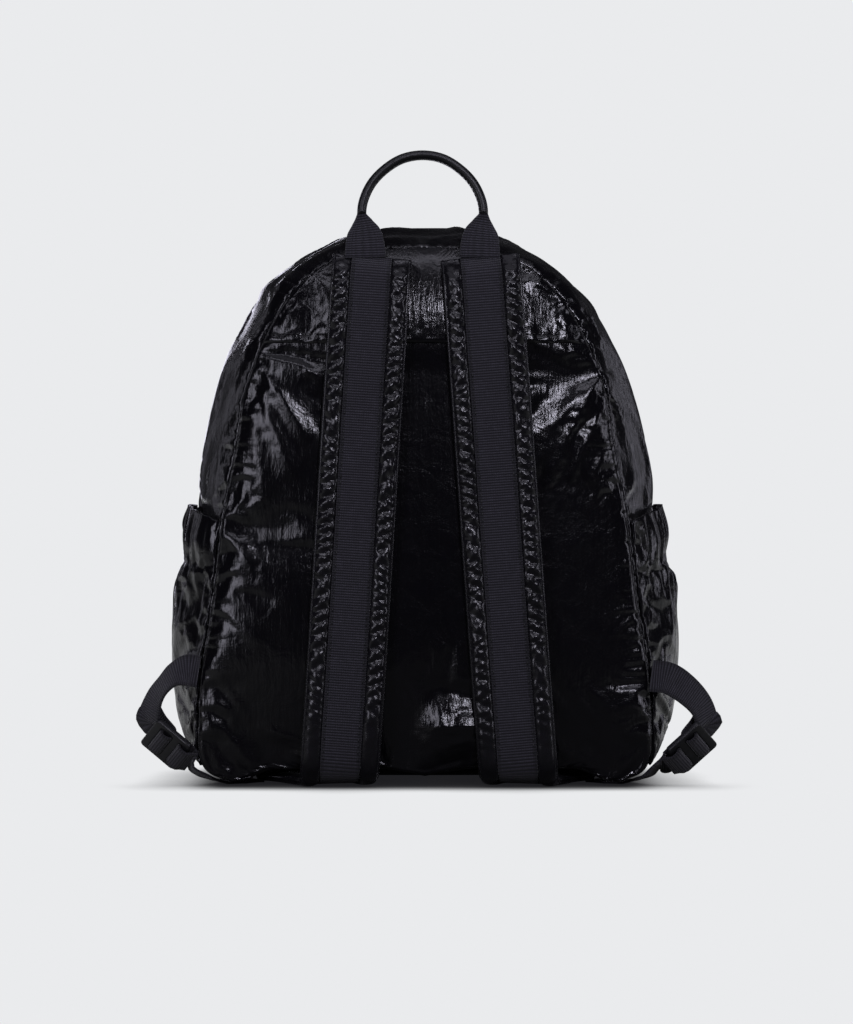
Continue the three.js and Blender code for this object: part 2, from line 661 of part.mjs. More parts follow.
// The handle: one run of webbing from end to end, with cloth wrapped round its arch.
function handleSections() {
  const arch = [...HANDLE.map((row) => ({ ...row, side: -1 })), ...HANDLE.slice(0, -1).reverse()
    .map((row) => ({ ...row, side: 1 }))];
  const line = tableLine(arch, (row) => {
    return new THREE.Vector3(HANDLE_CENTRE + row.side * row.reach, HANDLE_BACK + row.back, row.z);
  });
  const wide = tableColumn(arch, "wide");
  const deep = tableColumn(arch, "deep");
  const webbing = [];
  const outer = [];
  const inner = [];
  for (let step = 0; step <= HANDLE_STEPS; step += 1) {
    const share = line.getUtoTmapping(step / HANDLE_STEPS);
    const run = line.getTangent(share);
    const back = new THREE.Vector3(0, -1, 0);
    const frame = { place: line.getPoint(share), wide: run.clone().cross(back).normalize(), out: back };
    const ring = (radial, depth) => ovalPoints(frame, radial / 2, depth / 2);
    webbing.push(ring(wide(share), deep(share)));
    if (share > WRAP_FROM && share < 1 - WRAP_FROM) {
      outer.push(ring(WRAP_RADIAL, WRAP_DEEP));
      inner.push(ring(WRAP_RADIAL - 2 * WRAP_WALL, WRAP_DEEP - 2 * WRAP_WALL));
    }
  }
  return { webbing, outer, inner };
}

function ovalPoints(frame, across, out) {
  const corners = [[1, -0.55], [1, 0.55], [0.55, 1], [-0.55, 1], [-1, 0.55], [-1, -0.55], [-0.55, -1], [0.55, -1]];
  return corners.map(([a, b]) => framePoint(frame, a * across, b * out));
}

const handle = handleSections();
addPiece("handle_webbing", loftSolid(handle.webbing), WEBBING);
addPiece("handle_wrap", loftSolid(handle.outer, handle.inner), WRAP_CLOTH);

// The origin is on the floor under the middle of the whole bag.
const bounds = new THREE.Box3().setFromObject(bag);
const centre = bounds.getCenter(new THREE.Vector3());
bag.position.set(-centre.x, -centre.y, -bounds.min.z);

export default bag;
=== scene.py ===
import math
from collections import namedtuple

import bmesh
import bpy
import numpy as np
from mathutils import Matrix, Vector, noise


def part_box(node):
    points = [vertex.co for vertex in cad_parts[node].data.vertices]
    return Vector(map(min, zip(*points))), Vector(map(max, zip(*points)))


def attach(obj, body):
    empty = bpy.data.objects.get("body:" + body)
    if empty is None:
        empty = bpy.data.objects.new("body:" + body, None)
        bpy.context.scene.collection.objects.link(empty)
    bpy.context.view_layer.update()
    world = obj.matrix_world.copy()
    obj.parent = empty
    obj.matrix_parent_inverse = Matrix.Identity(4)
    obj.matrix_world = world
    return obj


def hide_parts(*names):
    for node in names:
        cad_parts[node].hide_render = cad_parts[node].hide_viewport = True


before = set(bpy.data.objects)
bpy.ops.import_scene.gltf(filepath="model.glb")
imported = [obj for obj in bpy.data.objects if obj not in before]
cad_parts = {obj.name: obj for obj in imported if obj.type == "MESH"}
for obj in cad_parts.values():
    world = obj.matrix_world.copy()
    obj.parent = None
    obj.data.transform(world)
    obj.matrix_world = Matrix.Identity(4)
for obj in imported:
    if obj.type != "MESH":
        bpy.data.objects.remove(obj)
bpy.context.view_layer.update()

# Lengths in the tables are millimetres from the middle of the bag's floor: X across, Y to the front, Z up.
MM = 0.001
gusset_low, gusset_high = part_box("gusset")
base_low, base_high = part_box("base_panel")
BAG_MIDDLE = np.array([(gusset_low[0] + gusset_high[0]) / 2, (base_low[1] + base_high[1]) / 2, 0.0])


# Rows of values whose columns have names.
def table(columns, *rows):
    named = namedtuple("Row", columns)
    return [named(*row) for row in rows]


BODY_HEIGHT = 271.7
BACK_SEAM_FOOT = -52.0
BACK_SEAM_LEAN = 3.0
FRONT_SEAM_FOOT = 52.0
FRONT_SEAM_LEAN = 9.0
SWELL_POWER = 2.4
BASE_JOINT = 4
SEAM_GAP = 0.4
PANEL_FOOT = 0.8
DOME_POWER = 2.6
HEM_HEIGHT = 224.0
HEM_LAP = 1.0
HEM_OVERLAP = 3.0
HEM_TUCK = 16.0
HEM_LEVEL = 2.0
FOLD_FADE = 6.0
FOLD_START = 0.12
FOLD_FULL = 0.6
FOLD_SHARP = 1.3
BACK_DOME = 7.2
HEM_DOME = 8.3
YOKE_DOME = 9.4
YOKE_ROLL = 2.2
FRONT_DOME = 11.0
FRONT_FULLEST = 0.92
WALL = 2.2
RIM_ROUND = 9.0
CLOTH_THICK = 1.0
GUSSET_WIDE = 110.0
GUSSET_CUT = 104.0
BACK_CUT = 210.0
BASE_CUT = 230.0
YOKE_CUT = (160.0, 60.0)
FRONT_CUT_HIGH = 272.0
FRONT_TOP_GAP = 0.6
ARCH_SHARE = 1.5
LAST_ROW = 0.999
POCKET_CUT = 130.0
POCKET_SEAT = 1.3
POCKET_INSET = 1.0
POCKET_RIPPLE = 0.6
STRAP_END_REACH = 79.0
PAD_WEB_WIDTH = 20.0
PAD_WEB_THICK = 1.4
PAD_WEB_SEAT = 3.9
WEB_WAVE = 0.25
WEB_WAVE_TURN = 0.37
NARROW_WEB_WIDTH = 16.0
NARROW_WEB_THICK = 1.2
NARROW_WEB_COLUMNS = 8
NARROW_WEB_ROWS = 60
NARROW_WEB_STEP = 1.1
WEB_EDGE = 0.36
LOCK_BAR = 4.2
LOCK_SLOT = 1.6
LOCK_WIDTH = 23.6
LOCK_SLOT_WIDTH = 17.6
LOCK_THICK = 3.2
LOCK_COLUMNS = 3
LOCK_ROWS = 7
LOCK_CORNER = 2.0
LOCK_EDGE = 0.7
HANDLE_CENTRE = -1.2
HANDLE_BACK = -55.5
HANDLE_CUT = 30.0
WRAP_FROM = 0.218
WRAP_RADIAL = 4.7
WRAP_DEEP = 10.0
WRAP_CUT = 26.0
INNER_EDGE = 0.075
ZIP_ACROSS = 0.58
ZIP_HALF = 0.0957
ZIP_HOLD = 1.3
ZIP_FIRST_ROW = 8.6
ZIP_CUT = 9.0
ZIP_THICK = 0.6
ZIP_LIFT = 0.9
COIL_RISE = 0.9
COIL_SHARE = 0.34
STITCH_ROUND = 0.34
STRAP_STITCH = 2.1
STRAP_STITCH_PITCH = 3.1
STRAP_STITCH_REACH = 8.5
STRAP_STITCH_LIFT = 0.1
STRAP_STITCH_FROM = 0.02
STRAP_STITCH_TO = 0.8
HANDLE_STITCH = 2.0
HANDLE_STITCH_PITCH = 2.7
HANDLE_STITCH_FROM = 0.02
HEM_STITCH = 2.4
HEM_STITCH_COUNT = 50
HEM_STITCH_RISE = 3.5
HEM_STITCH_INSET = 4.0
HEM_STITCH_LIFT = 0.2

# How finely each sheet is divided, across and along it.
BACK_GRID = (112, 150)
YOKE_GRID = (112, 52)
FRONT_GRID = (90, 120)
GUSSET_GRID = (400, 44)
BASE_GRID = (80, 40)
POCKET_GRID = (104, 84)
PAD_GRID = (72, 380)
STRAP_WEB_GRID = (12, 240)
WELT_GRID = (10, 200)
HANDLE_GRID = (24, 120)
WRAP_GRID = (28, 90)
ZIP_GRID = (200, 12)

# How a sewn sheet buckles: how near a seam it is held, its spare cloth at a seam and inside, how near and far
# from the seam one turns into the other, its push outwards, stiffness and furthest move, and the depth of its
# first waves and their length in metres.
Slack = namedtuple("Slack", "sewn at_seam inside near far push bend reach ruffle wave")
BACK_SLACK = Slack(0.3, 0.06, 0.012, 4, 26, 0.4, 0.4, 2.6, 0.2, 0.011)
YOKE_SLACK = Slack(0.4, 0.05, 0.008, 2, 16, 0.3, 0.6, 1.6, 0.3, 0.011)
FRONT_SLACK = Slack(1, 0.1, 0.028, 4, 26, 0.5, 0.5, 3.6, 0.3, 0.011)
GUSSET_SLACK = Slack(0.3, 0.08, 0.012, 3, 20, 0.25, 0.5, 2, 0.2, 0.011)
POCKET_SLACK = Slack(0.5, 0.05, 0.03, 3, 22, 0.3, 0.35, 2.4, 0.4, 0.016)
# A pad has its spare cloth between its sewn places, which count as 1 here and the rest as 0.
PAD_SLACK = Slack(0, 0.04, 0.0, 0, 1, 0.3, 0.3, 0.6, 0.08, 0.006)
SETTLE_STEPS = 18
PAD_STEPS = 10
CLOTH_SETTINGS = dict(
    quality=6, mass=0.1, air_damping=2, tension_stiffness=14, compression_stiffness=14, shear_stiffness=6,
    tension_damping=4, compression_damping=4, shear_damping=3, bending_damping=0.5
)
PUCKER_DEPTH = 0.42
PUCKER_REACH = 5.0
PUCKER_START = 2.5
CRUMPLE_WIDE = 5.5
CRUMPLE_HIGH = 7.5
CRUMPLE_SEED = 3.1
CRUMPLE_SHARP = 2.4

# Thread pitches, the camera's place and the studio's lights, in metres and watts; its lens is in millimetres.
NYLON_PITCH = 0.0007
THREAD_PITCH = 0.0011
WARP_PITCH = 0.00115
CAMERA_SENSOR = 36
CAMERA_LENS = 108.17
CAMERA_SHIFT = 0.00078
CAMERA_AWAY = 1.6
CAMERA_HEIGHT = 0.1382
STUDIO_WHITE = (0.823, 0.831, 0.847)
# How much brighter the floor's painted glow is at its sides, as the cloth sees it.
FLOOR_GAIN = 3.4
LIGHT_TINT = (0.97, 0.95, 1.12)
LIGHTS = table(
    "name place target size watts",
    ("left_front_light", (-1.0, -1.25, 0.5), (-0.03, 0, 0.16), (0.5, 0.8), 4.4),
    ("key_light", (0.28, -1.35, 0.72), (0, 0, 0.14), (0.2, 0.2), 4),
    ("strip_light", (0, -0.85, 1.3), (0, 0, 0.14), (1.6, 0.2), 3),
    ("right_side_light", (1.5, -0.45, 0.4), (0.03, 0, 0.15), (0.3, 0.9), 2.6),
    ("left_rear_light", (-0.95, 0.7, 0.45), (0, 0, 0.14), (0.2, 0.9), 0.25),
    ("right_rear_light", (0.95, 0.85, 0.4), (0, 0, 0.14), (0.2, 0.8), 0.36),
    ("rear_light", (-0.32, 1.35, 0.32), (0, 0, 0.15), (0.6, 0.5), 2),
    ("top_light", (0, -0.1, 1.35), (0, 0, 0.15), (1.2, 0.7), 1),
)

OUTLINE = table(
    "seam_x seam_z middle_x middle_z",
    (0, 0, 0, 0),
    (60, 0, 60, 0),
    (97, 1.6, 97, 1.6),
    (109.5, 7, 109.8, 7),
    (113.8, 16, 114.2, 16),
    (114, 35, 115.3, 35),
    (112.7, 58, 115.4, 58),
    (107, 94, 114.8, 95),
    (103, 129, 115, 128),
    (98.8, 154, 116.4, 154),
    (94.8, 175, 112.8, 174),
    (92.3, 195, 108.4, 195),
    (85, 217, 102, 218),
    (73.5, 240, 90, 243),
    (61, 255, 76, 262.2),
    (46, 264.8, 56, 274.6),
    (26, 270.3, 31, 281.8),
    (0, BODY_HEIGHT, 0, 283.2),
)
CROWN = len(OUTLINE) - 1
YOKE_TOP = CROWN - 0.35

# How far the right shoulder has slumped inwards: how much, round which height and how far up and down.
Slump = namedtuple("Slump", "inwards z spread")
SLUMPS = [Slump(3.4, 232, 30), Slump(10, 278, 22)]

# How far the folded straps hold the base off the floor, across its back edge.
LIFT_X = [0, 22, 78, 92, 116]
LIFT_HEIGHT = [5.4, 9.2, 8.8, 2, 0]

# Where each of these fades in or out: from one place to another.
LIFT_FADE = (-8, 17)
SLUMP_RISE = (6, 46)
FOOT_SWELL = (-12, 62)
FOOT_LIFT = (0, 34)
TAUT_BETWEEN = (14, 26)
TAUT_ABOVE = (60, 90)
TAUT_BESIDE = (10, 26)
TAUT_SIDE_END = (99, 109)
TAUT_LOW = (45, 65)
TAUT_HIGH = (138, 156)
WEB_WAVE_EDGE = (5, 10)

# Folds of the back panel: a crease from one point to another, its half width at each end and its rise.
FOLDS = table(
    "x z to_x to_z half to_half rise",
    (-86, 217, -48, 206, 1.5, 3.5, 1.4),
    (-85, 219, -44, 214, 2.5, 7, -2.8),
    (-87, 216, -57, 174, 2, 8, 2.6),
    (-87, 208, -65, 154, 2, 9, 2.4),
    (-89, 200, -80, 142, 3, 9, 2.2),
    (-64, 212, -50, 203, 3, 4, 1.4),
    (-99, 99, -74, 93, 2, 8, -2.2),
    (-104, 106, -78, 118, 2, 9, 1.8),
    (-105, 92, -80, 72, 2, 9, 1.6),
    (-106, 62, -88, 32, 2, 7, 2.0),
    (-84, 30, -52, 16, 10, 8, 2.2),
    (82, 198, 69, 170, 2, 4, 2.0),
    (88, 190, 74, 158, 2, 4, 1.8),
    (92, 176, 84, 152, 2, 4, 1.6),
    (107, 89, 97, 77, 1.5, 3, 1.8),
    (106, 91, 95, 99, 1.5, 3, 1.2),
    (104, 34, 76, 20, 3, 9, 1.6),
)

BULGE_X = 16.0
BULGE_HALF = 17.0
BULGE_OUT = 7.6
BULGE_TOP = 50.0
BULGE_LOW = 30.0
BULGE_FOOT = 6.0
TAUT = 0.75

# Places where the back panel is crumpled: its middle, how far it spreads and how deep it is.
CRUMPLES = table(
    "x z spread depth",
    (16, 41, 13, 0.6),
    (-55, 205, 7, 0.6),
    (75, 184, 13, 0.7),
    (-88, 108, 9, 0.6),
    (-92, 26, 14, 0.4),
)

# Folds of the gusset: how far along it from the crown, positive to the right, and from the back seam.
GUSSET_FOLDS = table(
    "x z to_x to_z half to_half rise",
    (-84, 11, -124, 3, 2.5, 3, 1.7),
    (-120, 4, -150, 14, 2, 4, 1.5),
    (-158, 3, -176, 16, 2, 4, 1.3),
    (60, 4, 116, 11, 2.5, 3, 1.8),
    (72, 12, 124, 3, 2.5, 3, 1.6),
    (92, 16, 140, 7, 3, 3, 1.6),
    (150, 3, 176, 15, 2, 4, 1.6),
    (206, 3, 192, 18, 2, 6, 1.8),
    (-70, 40, -34, 66, 4, 9, 1.5),
    (-44, 14, -10, 46, 3, 8, 1.4),
    (8, 70, 26, 30, 4, 8, 1.5),
    (34, 24, 70, 62, 4, 9, 1.6),
    (-104, 66, -84, 30, 4, 9, 1.5),
    (88, 68, 110, 34, 4, 9, 1.5),
)

POCKET = table(
    "reach drop z gather",
    (113.8, 0, 10.6, 0),
    (118.4, 0, 15, 0.05),
    (124, 0, 26, 0.05),
    (127.4, 0, 46, 0.1),
    (128.6, 0, 68, 0.3),
    (127.8, 0, 90, 0.9),
    (126.4, 2, 105, 1.9),
    (124.2, 4, 115, 0.5),
    (125.2, 6, 127, 2.0),
    (122.6, 8, 141.5, 1.5),
)
POCKET_GATHERS = 13
BROAD_SHARE = 0.62
PINCH_SHARE = 0.79
PINCH_HALF = 1.0

STRAP = table(
    "share bend y z lean fill gather",
    (0, 0, -55.4, 265.8, 0, 0.6, 0.5),
    (0.05, 0, -58.6, 256, 0, 0.95, 0.9),
    (0.16, 0, -62, 226, 0, 1, 1),
    (0.34, 0, -62.2, 180, 0, 1, 1),
    (0.6, 0, -62.2, 110, 0, 1, 1),
    (0.84, 0, -61.8, 48, 0, 1, 0.6),
    (0.94, 0, -61.2, 24, 0, 0.95, 0.15),
    (1, 0, -58.6, 11.5, 42, 0.95, 0),
    (1, 0.03, -51, 7.2, 84, 0.93, 0),
    (1, 0.2, -38, 6.4, 90, 0.9, 0),
    (1, 0.54, -27, 6.4, 90, 0.85, 0),
    (1, 1, -21, 6.4, 90, 0.66, 0),
)
Side = namedtuple("Side", "name top foot side")
STRAP_SIDES = [Side("left", -26.4, -42.6, -1), Side("right", 27.7, 46.6, 1)]

# Half of a pad's section: across the strap, out from the bag, and how far a gather moves that place.
PAD_SECTION = table(
    "across out roll",
    (0, 0, 0),
    (9, 0, 0),
    (15, 0.2, 0),
    (18, 1.2, 0),
    (19, 2.8, 0),
    (18.9, 4.3, 0.4),
    (18, 6, 1),
    (16.4, 6.6, 1),
    (14.4, 6.8, 1),
    (12.4, 6.7, 1),
    (10.9, 6.1, 1),
    (10.1, 4.8, 0.5),
    (9.9, 3.4, 0),
    (5, 3.2, 0),
    (0, 3.2, 0),
)
GATHER_PITCH = 6.6
GATHER_SLANT = 0.5
GATHER_DEPTH = 1.8
GATHER_INWARDS = 0.3
FINE_PITCH = 4.3
FINE_DEPTH = 0.5
WELT_ROUND = 0.9
WELT_REACH = 18.9
WELT_LIFT = 2.9
WELT_CUT = 5.0

# Where a pad is sewn down: under the webbing, where it lies on the bag, along its edge and at its ends.
PAD_HELD_ACROSS = 10.9
PAD_HELD_OUT = 0.6
PAD_EDGE_OUT = 2.7
PAD_EDGE_HALF = 0.7
PAD_HELD_TOP = 0.02
PAD_HELD_END = 0.75
TOP_PRESS = 0.45
TOP_PRESS_RUN = 11.0

LOOP_LEFT = table(
    "reach y z tilt",
    (113.6, -56, 58, 0),
    (119.4, -55.6, 58.8, 18),
    (125.8, -54.4, 56.8, 48),
    (131.8, -53, 51, 60),
    (136, -51.6, 44.6, 56),
    (138.6, -50.4, 36.6, 48),
)
LOOP_RIGHT = table(
    "reach y z tilt",
    (113.6, -56, 56, 0),
    (122, -55.4, 54.8, 8),
    (131, -53.6, 49.2, 26),
    (138.8, -51.4, 41, 40),
    (142, -49.8, 33, 44),
)
LOCK_SIDES = table(
    "name side loop reach y z slope tilt",
    ("left", -1, LOOP_LEFT, 130.4, -49, 21.4, 40, 46),
    ("right", 1, LOOP_RIGHT, 134.4, -49, 19.8, 42, 46),
)

# Webbing through a lock: along the lock and out from its middle.
ADJUSTER_THREAD = table(
    "along out",
    (-12.6, -3.3),
    (-8.8, -3.2),
    (-6.1, -2.1),
    (-5.8, 1.8),
    (-4.4, 3),
    (-1.8, 3),
    (-0.1, 1.8),
    (0.1, -2),
    (-1.2, -4.6),
    (-4, -5.5),
    (-9, -6.6),
    (-15, -9.5),
    (-21, -13.5),
)
TAIL_THREAD = table(
    "along out",
    (13.6, -3),
    (8.6, -3),
    (6.1, -2),
    (5.8, 1.8),
    (7.8, 2.9),
    (11, 2.8),
    (13, 0.8),
    (15.4, -1),
)
TAIL_FLOOR = table(
    "reach y z tilt",
    (86.4, -21.6, 0.8, 90),
    (96, -28, 0.8, 90),
    (105, -37, 1.8, 86),
    (112, -44, 5, 76),
    (117.4, -47.6, 9.6, 70),
)

HANDLE = table(
    "reach back z wide deep",
    (28.6, -3.2, 265.6, 20.6, 1.6),
    (28.8, -2.4, 272, 19.6, 1.8),
    (29.3, -0.4, 279, 16.6, 3),
    (30, 1.6, 284, 10, 4.6),
    (30.6, 2.2, 288.6, 4.2, 6.4),
    (29.6, 2.6, 295, 2.2, 7.2),
    (25.6, 3.4, 303.5, 2.2, 7.2),
    (19.2, 4, 310.4, 2.2, 7.2),
    (10.4, 4.4, 315.9, 2.2, 7.2),
    (0, 4.6, 317.8, 2.2, 7.2),
)


def mix(low, high, share):
    return low + (high - low) * share


def ease(value, start, end):
    share = np.clip((value - start) / (end - start), 0, 1)
    return share * share * (3 - 2 * share)


# A smooth line through rows of numbers, read by row number; the first three columns set its pace.
def smooth_line(rows, first=None, last=None):
    rows = np.array(rows, float)
    first = 2 * rows[0] - rows[1] if first is None else np.array(first, float)
    last = 2 * rows[-1] - rows[-2] if last is None else np.array(last, float)
    points = np.vstack([first, rows, last])
    gaps = np.linalg.norm(np.diff(points[:, :3], axis=0), axis=1) ** 0.5
    gaps = np.maximum(gaps, 1e-4)

    def at(row):
        row = np.clip(np.asarray(row, float), 0, len(rows) - 1)
        low = np.minimum(row.astype(int), len(rows) - 2)
        share = (row - low)[..., None]
        a, b, c, d = (points[low + step] for step in range(4))
        ab, bc, cd = (gaps[low + step][..., None] for step in range(3))
        leave = ((b - a) / ab - (c - a) / (ab + bc) + (c - b) / bc) * bc
        reach = ((c - b) / bc - (d - b) / (bc + cd) + (d - c) / cd) * bc
        square = share * share
        cube = square * share
        start = (2 * cube - 3 * square + 1) * b + (cube - 2 * square + share) * leave
        return start + (3 * square - 2 * cube) * c + (cube - square) * reach

    return at


# Row numbers that split a line into even steps between two of its rows.
def even_rows(line, start, end):
    rows = np.linspace(start, end, 600)
    places = line(rows)[:, :3]
    run = np.concatenate([[0], np.cumsum(np.linalg.norm(np.diff(places, axis=0), axis=1))])
    return lambda share: np.interp(np.asarray(share) * run[-1], run, rows), run[-1]


def unit(rows):
    return rows / np.linalg.norm(rows, axis=1)[:, None]


# The direction in which a line runs at each of its rows.
def heading(line, rows):
    return unit(line(rows + 0.01)[:, :3] - line(rows - 0.01)[:, :3])


def mirrored(row):
    return [-row[0], 0, row[2]]


def outline_line(across, up):
    rows = [[getattr(row, across), 0, getattr(row, up)] for row in OUTLINE]
    return smooth_line(rows, mirrored(rows[1]), mirrored(rows[-2]))


SEAM_LINE = outline_line("seam_x", "seam_z")
MIDDLE_LINE = outline_line("middle_x", "middle_z")
SEAM_ROWS = np.linspace(1, CROWN, 900)
SEAM_PLACES = SEAM_LINE(SEAM_ROWS)


def half_width(z):
    return np.interp(z, SEAM_PLACES[:, 2], SEAM_PLACES[:, 0])


def back_seam(z):
    return BACK_SEAM_FOOT + BACK_SEAM_LEAN * z / BODY_HEIGHT


def front_seam(z):
    return FRONT_SEAM_FOOT - FRONT_SEAM_LEAN * z / BODY_HEIGHT


def base_lift(x, y):
    return np.interp(np.abs(x), LIFT_X, LIFT_HEIGHT) * (1 - ease(y, *LIFT_FADE))


# A place on the strip round the bag: its row, negative on the left, and -1 to 1 from back to front.
def strip_place(row, across):
    side = np.sign(row)
    seam = SEAM_LINE(np.abs(row))
    swell = (1 - np.abs(across) ** SWELL_POWER)[..., None]
    place = seam + (MIDDLE_LINE(np.abs(row)) - seam) * swell
    place[..., 0] *= side
    shoulder = np.where(side > 0, ease(place[..., 0], *SLUMP_RISE), 0) * swell[..., 0]
    for slump in SLUMPS:
        fade = np.exp(-(((place[..., 2] - slump.z) / slump.spread) ** 2))
        place[..., 0] -= slump.inwards * shoulder * fade
    place[..., 1] = mix(back_seam(seam[..., 2]), front_seam(seam[..., 2]), (across + 1) / 2)
    place[..., 2] = np.maximum(place[..., 2], 0)
    return place


def fold_height(x, z, folds):
    height = np.zeros_like(x)
    for fold in folds:
        run_x = fold.to_x - fold.x
        run_z = fold.to_z - fold.z
        run = ((x - fold.x) * run_x + (z - fold.z) * run_z) / (run_x ** 2 + run_z ** 2)
        share = np.clip(run, 0, 1)
        away = np.hypot(x - fold.x - share * run_x, z - fold.z - share * run_z)
        half = mix(fold.half, fold.to_half, share)
        fade = np.sin(math.pi * np.clip(mix(FOLD_START, 1, share), 0, 1)) ** FOLD_FULL
        height += fold.rise * np.maximum(1 - away / half, 0) ** FOLD_SHARP * fade
    return height


# The slack of the back panel that sags out between the straps, just above the base.
def low_bulge(x, z):
    from_top = (BULGE_TOP - z) / (BULGE_TOP - BULGE_LOW)
    from_foot = (z - BULGE_FOOT) / (BULGE_LOW - BULGE_FOOT)
    sag = np.clip(np.minimum(from_top, from_foot), 0, 1)
    return BULGE_OUT * sag * np.exp(-(((x - BULGE_X) / BULGE_HALF) ** 4))


# Where the straps draw the back taut: between them above its slack, and low on the right.
def drawn_taut(x, z):
    between = (1 - ease(np.abs(x), *TAUT_BETWEEN)) * ease(z, *TAUT_ABOVE)
    beside = ease(x, *TAUT_BESIDE) * (1 - ease(x, *TAUT_SIDE_END))
    beside = beside * ease(z, *TAUT_LOW) * (1 - ease(z, *TAUT_HIGH))
    return TAUT * np.maximum(between, beside)


# Sharp small creases that cross each other, deepest in the middle of each crumpled place.
def crumple_height(x, z):
    depth = np.zeros_like(x)
    for spot in CRUMPLES:
        depth += spot.depth * np.exp(-((x - spot.x) ** 2 + (z - spot.z) ** 2) / spot.spread ** 2)
    spots = [Vector((a / CRUMPLE_WIDE, CRUMPLE_SEED, b / CRUMPLE_HIGH)) for a, b in zip(x, z)]
    crease = np.array([abs(noise.noise(spot)) for spot in spots])
    return -depth * (1 - CRUMPLE_SHARP * np.minimum(crease, 0.5))


# How far a panel domes between its side seams: 0 at them and 1 in the middle.
def dome_share(x, half):
    return 1 - np.minimum(np.abs(x) / half, 1) ** DOME_POWER


# Rounds a panel down to its seam over the last few millimetres.
def rim_round(edge):
    share = np.clip(edge / RIM_ROUND, 0, 1)
    return np.sqrt(1 - (1 - share) ** 2)


def shape_piece(name, bm, material, smooth=True):
    mesh = bpy.data.meshes.new(name)
    bm.to_mesh(mesh)
    bm.free()
    for polygon in mesh.polygons:
        polygon.use_smooth = smooth
    piece = bpy.data.objects.new(name, mesh)
    bpy.context.scene.collection.objects.link(piece)
    mesh.materials.append(material)
    return piece


# A sheet of cloth from an even grid, each point put in its place, with its UV map in metres.
# It comes with how far each point is across and along it, from 0 to 1.
def sheet_grid(grid, place, size, turned=False):
    bm = bmesh.new()
    uv = bm.loops.layers.uv.new("UVMap")
    bmesh.ops.create_grid(bm, x_segments=grid[0], y_segments=grid[1], size=0.5, calc_uvs=True)
    shares = np.array([vert.co.xy for vert in bm.verts]) + 0.5
    across, along = shares.T
    points = place(across, along) * MM + BAG_MIDDLE
    for vert, point in zip(bm.verts, points):
        vert.co = point
    for face in bm.faces:
        for loop in face.loops:
            loop[uv].uv = (loop[uv].uv.x * size[0] * MM, loop[uv].uv.y * size[1] * MM)
    if turned:
        bmesh.ops.reverse_faces(bm, faces=bm.faces)
    return bm, across, along


def wall_thickness(piece, thick, offset=-1):
    solidify = piece.modifiers.new("wall", "SOLIDIFY")
    solidify.thickness = thick * MM
    solidify.offset = offset
    solidify.use_even_offset = False


# Short uneven puckers that run in from a sewn edge, by millimetres along the edge and away from it.
def seam_pucker(along, edge, seed):
    wave = np.cos(along / 0.83 + 2.1 * np.sin(along * 0.17 + seed))
    wave += 0.8 * np.cos(along / 1.37 + 1.7 * np.sin(along * 0.09 + 2 * seed))
    strength = np.maximum(np.sin(along * 0.06 + 3 * seed) + 0.8 * np.sin(along * 0.151 + seed), 0.12)
    fade = np.exp(-edge / PUCKER_REACH)
    return PUCKER_DEPTH * strength * wave * fade * np.minimum(edge / PUCKER_START, 1)


def displace(piece, heights):
    mesh = piece.data
    normals = np.array([vertex.normal for vertex in mesh.vertices])
    places = np.array([vertex.co for vertex in mesh.vertices])
    mesh.vertices.foreach_set("co", (places + normals * heights[:, None] * MM).ravel())
    mesh.update()


def paint_weights(piece, name, weights):
    group = piece.vertex_groups.new(name=name)
    for index in np.nonzero(weights > 0)[0]:
        group.add([int(index)], float(weights[index]), "REPLACE")


# Lets a sewn sheet that is a little too large buckle between its seams, and keeps the result in its mesh.
# held is 1 where it is sewn down and less where it is drawn taut; edge is how far it is from its seams.
def buckle(piece, held, edge, slack, seed, steps=SETTLE_STEPS):
    mesh = piece.data
    count = len(mesh.vertices)
    start = np.array([vertex.co for vertex in mesh.vertices])
    held = np.asarray(held, float)
    wander = Vector((seed, -seed, 0.5 * seed))
    ripple = slack.wave * 0.45
    uneven = np.array([noise.noise(Vector(place) / slack.wave + wander) for place in start])
    uneven += 0.5 * np.array([noise.noise(Vector(place) / ripple - wander) for place in start])
    displace(piece, uneven * slack.ruffle * (1 - held))
    paint_weights(piece, "sewn", held)
    paint_weights(piece, "inner", ease(edge, slack.near, slack.far))
    cloth = piece.modifiers.new("buckle", "CLOTH")
    settings = cloth.settings
    for name, value in CLOTH_SETTINGS.items():
        setattr(settings, name, value)
    settings.bending_stiffness = slack.bend
    settings.shrink_min = -slack.at_seam
    settings.shrink_max = -slack.inside
    settings.vertex_group_shrink = "inner"
    settings.vertex_group_mass = "sewn"
    settings.use_pressure = True
    settings.uniform_pressure_force = slack.push
    settings.effector_weights.gravity = 0
    cloth.collision_settings.use_collision = False
    cloth.collision_settings.use_self_collision = False
    cloth.point_cache.frame_start = 1
    cloth.point_cache.frame_end = steps
    scene = bpy.context.scene
    for step in range(1, steps + 1):
        scene.frame_set(step)
    settled = piece.evaluated_get(bpy.context.evaluated_depsgraph_get())
    moved = np.empty(count * 3)
    settled.data.vertices.foreach_get("co", moved)
    shift = moved.reshape(-1, 3) - start
    far = np.maximum(np.linalg.norm(shift, axis=1), 1e-9)
    limit = slack.reach * MM
    shift *= (limit * np.tanh(far / limit) / far)[:, None]
    piece.modifiers.remove(cloth)
    piece.vertex_groups.clear()
    scene.frame_set(1)
    mesh.vertices.foreach_set("co", (start + shift).ravel())
    mesh.update()


# Every piece rides on the one body; one that takes a node's place also names it.
def place_piece(piece, slot, *nodes):
    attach(piece, "root")
    if nodes:
        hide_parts(*nodes)


# Gives a settled sheet of the bag's cloth its thickness, and hides the node that it stands for.
def finish_cloth(piece, node):
    wall_thickness(piece, CLOTH_THICK)
    place_piece(piece, "nylon", node)
